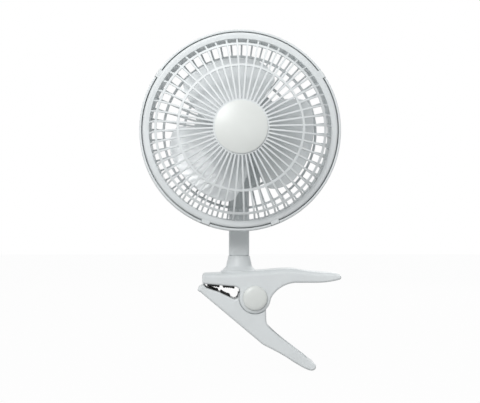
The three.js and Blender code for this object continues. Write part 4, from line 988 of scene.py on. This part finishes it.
def centre_cap():
    seat = dome_depth(HUB_RADIUS) - GAP
    shoulder = seat - CAP_EDGE
    shares = [1, 0.985, 0.95, 0.88, 0.78, 0.65, 0.5, 0.33, 0.16, 0]
    dome = [(s * CENTRE_CAP_RADIUS, shoulder - CAP_CROWN * (1 - s**2.4)) for s in shares]
    profile = [
        (0, seat + RIB_DEPTH), (CAP_PEG_RADIUS, seat + RIB_DEPTH), (CAP_PEG_RADIUS, seat),
        (CENTRE_CAP_RADIUS - 0.3, seat), (CENTRE_CAP_RADIUS, seat - 0.3),
        *through_points(dome, 4),
    ]
    dress(spun("cap_centre", profile, 128), "head", warm, "grille_centre_cap")


def rear_grille():
    lip, wall, proud = RIM_RADIUS - RIM_LIP, REAR_WALL_RADIUS - REAR_WALL_TAPER, -RIM_LIP_PROUD
    body = cage(
        "grille_rear", (lambda r: dish_depth(r) - RIB_DEPTH, dish_depth),
        (0, 20, 35), (REAR_PLATE_RADIUS, REAR_RING_INNER, REAR_RING_OUTER, wall), (3, 5, 4),
        [
            (REAR_WALL_RADIUS - REAR_WALL_TAPER / 2, RIM_SEAT, 1), (lip, RIM_SEAT, 0.3), (lip, proud, 0.5),
            (RIM_RADIUS - RIM_ROUND / 2, proud, 1.4), (RIM_RADIUS, RIM_BACK, 2),
        ],
        4, RIB_START + RIB_PITCH / 2,
    )
    reach, half = DISH_DEPTH + RIB_DEPTH, TAB_WIDTH / 2 + GAP
    tab_end = lip - RIM_JOINT + TAB_LENGTH / 2 + GAP
    notch = (lip - 2 * GAP, tab_end, 2 * proud, RIM_NOTCH, -half, half)
    cut = [rod("Y", SHAFT_OPENING, 0, reach, segments=64)]
    cut += [block(*notch, angle) for angle in TAB_ANGLES]
    cut += [rod("Y", SCREW_RADIUS + GAP, 0, reach, at) for at in MOUNT_SCREWS]
    combine(body, cut=cut)
    dress(body, "head", white, "rear_grille")


# ---- propeller


def blade(angle0):
    """One cambered helical blade with rounded edges, as two skins over the same grid."""
    radii = [TIP_RADIUS * (0.25 + 0.75 * sin(pi / 2 * i / 30)) for i in range(31)]
    steps = 30
    middle = (BLADE_HUB_FRONT + BLADE_HUB_BACK) / 2
    skins = [[], []]
    for r in radii:
        sweep, tip = [max(0.0, (r / TIP_RADIUS - start) / (1 - start)) for start in (0.82, 0.94)]
        leading = -radians(51 - 18 * sweep * sweep)
        trailing = radians(60 - 41 * (r / TIP_RADIUS - 0.43))
        rounding = 1 - 0.13 * tip**3
        for j in range(steps + 1):
            share = 0.5 - 0.5 * cos(pi * j / steps)
            angle = (leading + trailing) / 2 + (share - 0.5) * (trailing - leading) * rounding
            bulge = BLADE_CAMBER * (1 - (2 * share - 1) ** 2)
            depth = middle - BLADE_ADVANCE * angle / (2 * pi) + bulge
            edge = max(0.0, 1 - (2 * share - 1) ** 8) * (1 - 0.9 * tip**8)
            half = BLADE_THICKNESS / 2 * (0.12 + 0.88 * sqrt(edge))
            turn = angle + angle0
            for skin, side in zip(skins, (-half, half)):
                skin.append((r * cos(turn), depth + side, r * sin(turn)))
    row, count = steps + 1, len(skins[0])
    last = count - row
    faces = []

    def face(a, one, two):
        faces.append((a, a + one, a + one + two, a + two))

    for i in range(0, last, row):
        for a in range(i, i + steps):
            face(a, 1, row)
            face(a + count, row, 1)
        for a in (i, i + steps):
            face(a, row, count)
    for j in range(steps):
        for a in (j, last + j):
            face(a, 1, count)
    return mesh_piece("blade", [*skins[0], *skins[1]], faces)


def propeller():
    socket, seat = SHAFT_RADIUS + GAP, BLADE_HUB_FRONT + BLADE_SEAT
    front, back, wall = BLADE_HUB_FRONT, BLADE_HUB_BACK, BLADE_HUB_WALL
    outer, boss, boss_end = BLADE_HUB_RADIUS, BLADE_BOSS_RADIUS, BLADE_HUB_BACK - BLADE_HUB_WALL / 2
    profile = filleted([
        (0, front), (0.8 * outer, front, 6), (outer, front + 1.8 * wall, 6), (outer, back, 0.5),
        (outer - wall, back, 0.5), (outer - wall, seat, 2), (boss, seat - wall, 1), (boss, boss_end, 0.4),
        (socket, boss_end, 0.3), (socket, seat), (0, seat),
    ])
    hub = spun("fan_blades", profile, 96)
    blades = []
    for i in range(BLADE_COUNT):
        inside_hub = rod("Y", outer - 0.75 * wall, -TIP_RADIUS, TIP_RADIUS, segments=96)
        blades.append(combine(blade(FIRST_BLADE + 2 * pi * i / BLADE_COUNT), cut=[inside_hub]))
    combine(hub, add=blades)
    # the blades take a white painted brighter than the rest, to lift the shade in the cage
    dress(hub, "rotor", glossy_painted_bright, "propeller", smooth=50)


# ---- motor housing


def housing_front():
    start, inner = HOUSING_START, HOUSING_RADIUS - HOUSING_WALL
    corners = [
        (FRONT_BORE, start, 0.4), (HOUSING_RADIUS, start, 1.2), (HOUSING_RADIUS, HOUSING_SPLIT, 0.4),
        (inner, HOUSING_SPLIT), (inner, start + HOUSING_WALL, 1), (FRONT_BORE, start + HOUSING_WALL),
    ]
    body = spun("housing_cup", filleted(corners, closed=True), 128)
    face = STACK_START - COIL_OVERHANG - 2 * GAP - BRACKET_THICKNESS
    add, cut = [], []
    bosses = [(at, MOTOR_BOSS_RADIUS, face) for at in MOTOR_SCREWS]
    bosses += [(at, MOUNT_BOSS_RADIUS, STACK_END) for at in MOUNT_SCREWS]
    for at, radius, end in bosses:
        add.append(rod("Y", radius, start + 1, end, at))
        cut.append(rod("Y", SCREW_RADIUS + GAP, start - 1, end + 1, at))
    combine(body, add, cut)
    # the cup takes the white plastic with painted light: a brighter colour over the shade inside the cage
    dress(body, "head", satin_painted_bright, "housing_front")


def neck_room():
    """Side view of the room that the neck needs in the chin."""
    room = KNUCKLE_RADIUS + 0.5
    reach = 3 * room
    front, back = -pi / 2 - TILT_DOWN, -pi / 2 + TILT_UP

    def far(angle, side):
        out, across = reach * np.array((cos(angle), sin(angle))), room * np.array((sin(angle), -cos(angle)))
        return HINGE + out + side * across

    o = Outline(*far(back, -1))
    o.arc(HINGE, room, back + pi / 2, front - pi / 2 + 2 * pi, 40)
    o.line(*far(front, 1))
    o.line(HINGE[0], HINGE[1] - 1.2 * reach)
    return o.distinct()


def housing_rear():
    r, w, back, flat = HOUSING_RADIUS, HOUSING_WALL, HOUSING_BACK, HOUSING_BACK_RADIUS
    start = HOUSING_SPLIT + GAP
    profile = filleted([
        (0, back), (flat, back, 4), (r - 2.6, back - 6, 9), (r, back - 20, 12), (r, start, 0.4),
        (r - w, start), (r - w, back - 20.4, 8), (r - w - 2.6, back - 7, 6), (flat - 0.8, back - w, 2),
        (0, back - w),
    ], steps=7)
    body = spun("housing_shell", profile, 128)
    slot, wide, cover = NECK_WIDTH / 2 + NECK_SIDE_GAP, CHIN_WIDTH / 2, (back - w - 1, back + 1)
    near, far, top = HINGE[0] - CHIN_RADIUS, HINGE[0] + CHIN_RADIUS, CHIN_OVERLAP - r
    lining = block(-slot - 2, slot + 2, near, far + 5, 1 - r, top - 1.2)
    chin = Outline(near, top)
    chin.arc(HINGE, CHIN_RADIUS, pi, 2 * pi, 32)
    chin.line(far, top)
    add, cut = [slab("chin", chin.distinct(), -wide, wide, 1.2, 4, "X"), lining], [
        slab("room", neck_room(), -slot, slot, axis="X"),
        rod("X", TILT_BOLT[0] + GAP, -CHIN_WIDTH, CHIN_WIDTH, HINGE),
        rod("X", TILT_BOLT[1] + 0.4, wide - BOLT_SINK, CHIN_WIDTH, HINGE),
        rod("X", NUT_RADIUS + GAP, -CHIN_WIDTH, NUT_SINK - wide, HINGE, segments=6),
        rod("Y", KNOB_STEM_RADIUS + 0.6, *cover),
        rod("Y", INLET_RADIUS + GAP, *cover, (0, INLET_PLACE)),
    ]
    for at in MOUNT_SCREWS:
        add.append(rod("Y", COVER_BOSS_RADIUS, STACK_END + GAP, back - 1, at))
        cut.append(rod("Y", SCREW_WELL_RADIUS, back - SCREW_SINK, back + 1, at))
        cut.append(rod("Y", SCREW_RADIUS + GAP, STACK_END - 1, back + 1, at))
    vents = [(14, 26, *cover, 2 * pi * i / VENT_COUNT - pi / 2) for i in range(1, VENT_COUNT)]
    vents += [(r - 4, r + 1, start + 8, start + 20, pi / 2 + i * TOP_VENT_PITCH) for i in range(-3, 4)]
    for *size, angle in vents:
        cut.append(soften(block(*size, -VENT_WIDTH / 2, VENT_WIDTH / 2, angle), 1.0, 4))
    combine(body, add, cut)
    dress(body, "head", white, "housing_rear")


def screw(name, node, axis, tip, seat, size, across, body="head", place=HEAD):
    """Pan-head screw: shank from its tip to the seat, domed head behind it with a cross recess."""
    shank, head, height = size
    way = 1 if seat > tip else -1
    top = seat + way * height
    rows = [
        (0, tip), (shank * 0.5, tip), (shank, tip + way * shank * 0.6), (shank, seat), (head, seat),
        (head, seat + way * 0.35 * height), (0.85 * head, seat + way * 0.8 * height), (0.5 * head, top),
        (0, top),
    ]
    shift = np.add(place, placed(axis, *across, 0))
    made = spun(name, rows, 32, axis, shift)
    low, high = sorted((top - way * 0.55 * height, top + way))
    arm, thick = 0.62 * head, 0.13 * head
    cuts = []
    for a, b in ((arm, thick), (thick, arm)):
        corners = [(-a, -b), (a, -b), (a, b), (-a, b)]
        cuts.append(slab("recess", corners, low, high, axis=axis, place=shift))
    combine(made, cut=cuts)
    dress(made, body, steel, node)


def screws():
    front = dish_depth(REAR_PLATE_RADIUS) - RIB_DEPTH - GAP
    back = STACK_END + COIL_OVERHANG + BRACKET_THICKNESS + 2 * GAP
    housing = ("housing", STACK_END - 10, HOUSING_BACK - SCREW_SINK + GAP, HOUSING_SCREW)
    grille = ("grille", front + 12, front, GRILLE_SCREW)
    motor = ("motor", HOUSING_START + 0.6, back, MOTOR_SCREW)
    for places, kinds in ((MOUNT_SCREWS, (housing, grille)), (MOTOR_SCREWS, (motor,))):
        for i, at in enumerate(places, 1):
            for kind, tip, seat, size in kinds:
                screw(f"screw_{kind}_{i}", f"{kind}_screw_{i}", "Y", tip, seat, size, at)
    under = SPIGOT_END - WASHER_THICKNESS - 2 * GAP
    screw("screw_swivel", "swivel_screw", "Z", SPIGOT_END + 10, under, SWIVEL_SCREW, (0, 0), "neck", NECK)
    tip, side = 1 - CHIN_WIDTH / 2, CHIN_WIDTH / 2 - BOLT_SINK + GAP
    screw("bolt_tilt", "tilt_bolt", "X", tip, side, TILT_BOLT, HINGE)


def speed_knob():
    start, rim = HOUSING_BACK + GAP, KNOB_RADIUS
    end = start + KNOB_HEIGHT
    skirt = filleted([
        (0, start), (rim, start, 0.3), (rim, start + 2.6, 0.8), (rim - 1.4, start + 3.8, 0.8),
        (0, start + 3.8),
    ])
    body = spun("knob", skirt, 80)
    grip = slab("grip", rounded_rectangle(GRIP_WIDTH, 2 * rim - 3, 2.2), start + 2, end, 1.1, 4)
    stem = rod("Y", KNOB_STEM_RADIUS, start - 6, start + 1)
    mark = block(-0.45, 0.45, end - 0.5, end + 1, 2.2, rim - 2.6)
    combine(body, add=[grip, stem], cut=[mark])
    dress(body, "knob", white, "speed_knob")


def dial_numbers():
    """Plain numbers printed round the knob."""
    for text, angle in (("0", 90), ("1", 45), ("2", 0)):
        curve = bpy.data.curves.new(f"dial_{text}", "FONT")
        curve.body = text
        curve.size = DIAL_SIZE * MM
        curve.extrude = DIAL_DEPTH * MM
        curve.align_x = curve.align_y = "CENTER"
        shape = linked("text", curve)
        mesh = evaluated(shape)
        bpy.data.objects.remove(shape)
        across, up = DIAL_REACH * cos(radians(angle)), DIAL_REACH * sin(radians(angle))
        number = linked(f"dial_{text}", mesh)
        number.rotation_euler = (pi / 2, 0, pi)
        number.location = Vector((HEAD[0] + across, HEAD[1] + HOUSING_BACK + DIAL_PROUD, HEAD[2] + up)) * MM
        mesh.materials.append(print_ink)
        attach(number, "head")


def cable_inlet():
    start, inside, bore, r = HOUSING_BACK + GAP, HOUSING_BACK - HOUSING_WALL - 1, CABLE_RADIUS, INLET_RADIUS
    corners = [
        (bore, inside, 0.2), (r, inside, 0.4), (r, start), (r + 2.2, start, 0.3), (r + 2.2, start + 1.6, 0.6),
        (r - 0.3, start + 8.4, 0.5), (bore, start + 8.4, 0.4),
    ]
    place = (HEAD[0], HEAD[1], HEAD[2] + INLET_PLACE)
    body = spun("inlet", filleted(corners, closed=True), 48, place=place)
    dress(body, "head", white, "cable_inlet")


# ---- motor windings


def winding(index):
    """A coil of enamelled wire round a pole: the bundle's section is ridged by its wires."""
    height = 2 * (POLE_HALF + GAP + COIL_SIDE)
    start = BORE_RADIUS + POLE_SHOE + GAP
    end = sqrt(SLOT_RADIUS**2 - (height / 2) ** 2) - 2 * GAP
    layers = int((end - start) / (2 * COIL_WIRE))
    pitch, step = (end - start) / layers, COIL_SIDE / int(COIL_SIDE / (2 * COIL_WIRE))
    section = []
    for first, way, base in ((start, 1, 0), (end, -1, COIL_SIDE)):
        for i in range(layers):
            for a in (radians(150), radians(90), radians(30)):
                along, across = (i + 0.5 - 0.5 * cos(a)) * pitch, step * 0.5 * (1 - sin(a))
                section.append((first + way * along, base + way * across))
    bend = 0.3 * COIL_CORNER
    inner_y, inner_z = (STACK_END - STACK_START) / 2 + GAP - bend, POLE_HALF + GAP - bend
    path = []
    for sy, sz, first in ((1, 1, 0), (-1, 1, 90), (-1, -1, 180), (1, -1, 270)):
        for k in range(COIL_CORNER_STEPS + 1):
            a = radians(first + 90 * k / COIL_CORNER_STEPS)
            path.append((sy * inner_y, sz * inner_z, cos(a), sin(a)))
    turn = (index - 1) * pi / 2
    c, s = cos(turn), sin(turn)
    verts, faces, n, count = [], [], len(section), len(path)
    reach = (COIL_OVERHANG - GAP) / COIL_SIDE
    for cy, cz, ny, nz in path:
        for x, out in section:
            far = bend + out
            y = cy + ny * (far if abs(nz) > 0.5 else far * reach + bend * (1 - reach))
            z = cz + nz * far
            verts.append((x * c - z * s, y + (STACK_START + STACK_END) / 2, x * s + z * c))
    for i in range(count):
        for k in range(n):
            j, m = (i + 1) % count, (k + 1) % n
            faces.append((i * n + k, i * n + m, j * n + m, j * n + k))
    body = mesh_piece(f"winding_{index}", verts, faces)
    dress(body, "head", copper, f"stator_coil_{index}", smooth=80)


# ---- studio


def camera():
    data = bpy.data.cameras.new("camera")
    data.lens = 80
    data.clip_start = 0.01
    view = linked("camera", data)
    view.location = Vector(CAMERA_PLACE) * MM
    view.rotation_euler = (radians(90 + CAMERA_RISE), 0, radians(-CAMERA_TURN))
    bpy.context.scene.camera = view


def shown_white(tree, lit, plain, output, share=1.0):
    """Makes a surface plain white to the camera and in reflections, and otherwise leaves it lit."""
    nodes, links = tree.nodes, tree.links

    def maths(operation, one, two):
        node = nodes.new("ShaderNodeMath")
        node.operation = operation
        links.new(one, node.inputs[0])
        links.new(two, node.inputs[1])
        return node.outputs[0]

    path = nodes.new("ShaderNodeLightPath").outputs
    weight = nodes.new("ShaderNodeValue").outputs[0]
    weight.default_value = share
    seen = maths("MAXIMUM", path["Is Camera Ray"], path["Is Glossy Ray"])
    mix, white_light = nodes.new("ShaderNodeMixShader"), nodes.new(plain)
    put(white_light, {"Strength": 1.0, "Color": (1, 1, 1, 1)})
    links.new(maths("MULTIPLY", seen, weight), mix.inputs["Fac"])
    links.new(nodes[lit].outputs[0], mix.inputs[1])
    links.new(white_light.outputs[0], mix.inputs[2])
    links.new(mix.outputs[0], nodes[output].inputs["Surface"])


def studio():
    world = bpy.data.worlds.new("studio")
    bpy.context.scene.world = world
    world.use_nodes = True
    put(world.node_tree.nodes["Background"], {"Color": AMBIENT_COLOUR, "Strength": AMBIENT_STRENGTH})
    shown_white(world.node_tree, "Background", "ShaderNodeBackground", "World Output")

    z = cad_box[0][2] - FLOOR_DROP * MM
    mesh = bpy.data.meshes.new("floor")
    corners = [(x * FLOOR_HALF, y * FLOOR_HALF, z) for x, y in ((-1, -1), (1, -1), (1, 1), (-1, 1))]
    mesh.from_pydata(corners, [], [(0, 1, 2, 3)])
    material = bpy.data.materials.new("floor")
    material.use_nodes = True
    put(material.node_tree.nodes["Principled BSDF"], {"Base Color": FLOOR_COLOUR, "Roughness": 0.9})
    shown_white(material.node_tree, "Principled BSDF", "ShaderNodeEmission", "Material Output", FLOOR_WHITE)
    mesh.materials.append(material)
    linked("floor", mesh)

    for name, (place, size, power) in LAMPS.items():
        data = bpy.data.lights.new(name, "AREA")
        data.shape = "SQUARE"
        data.size = size
        data.energy = power
        light = linked(name, data)
        light.location = place
        light.rotation_euler = (Vector(LAMP_TARGET) - Vector(place)).to_track_quat("-Z", "Y").to_euler()


# ---- assembly

camera()
studio()
bpy.context.scene.view_settings.view_transform = "Standard"

upper_arm()
lower_arm()
for name, size in UPPER_PADS.items():
    upper_pad(name, *size)
for name, size in LOWER_PADS.items():
    lower_pad(name, *size)
pivot_cap(-1, "front")
pivot_cap(1, "back")
spring()
neck_post()
front_grille()
centre_cap()
rear_grille()
propeller()
housing_front()
housing_rear()
screws()
speed_knob()
dial_numbers()
cable_inlet()
for number in range(1, 5):
    winding(number)

keep(steel, "pivot_pin", "swivel_washer", "tilt_nut", "motor_shaft", "rotor_core", "stator_core")
keep(cast, "bearing_bracket_front", "bearing_bracket_rear")
keep(bronze, "bearing_bush_front", "bearing_bush_rear")
keep(dark, "speed_switch")
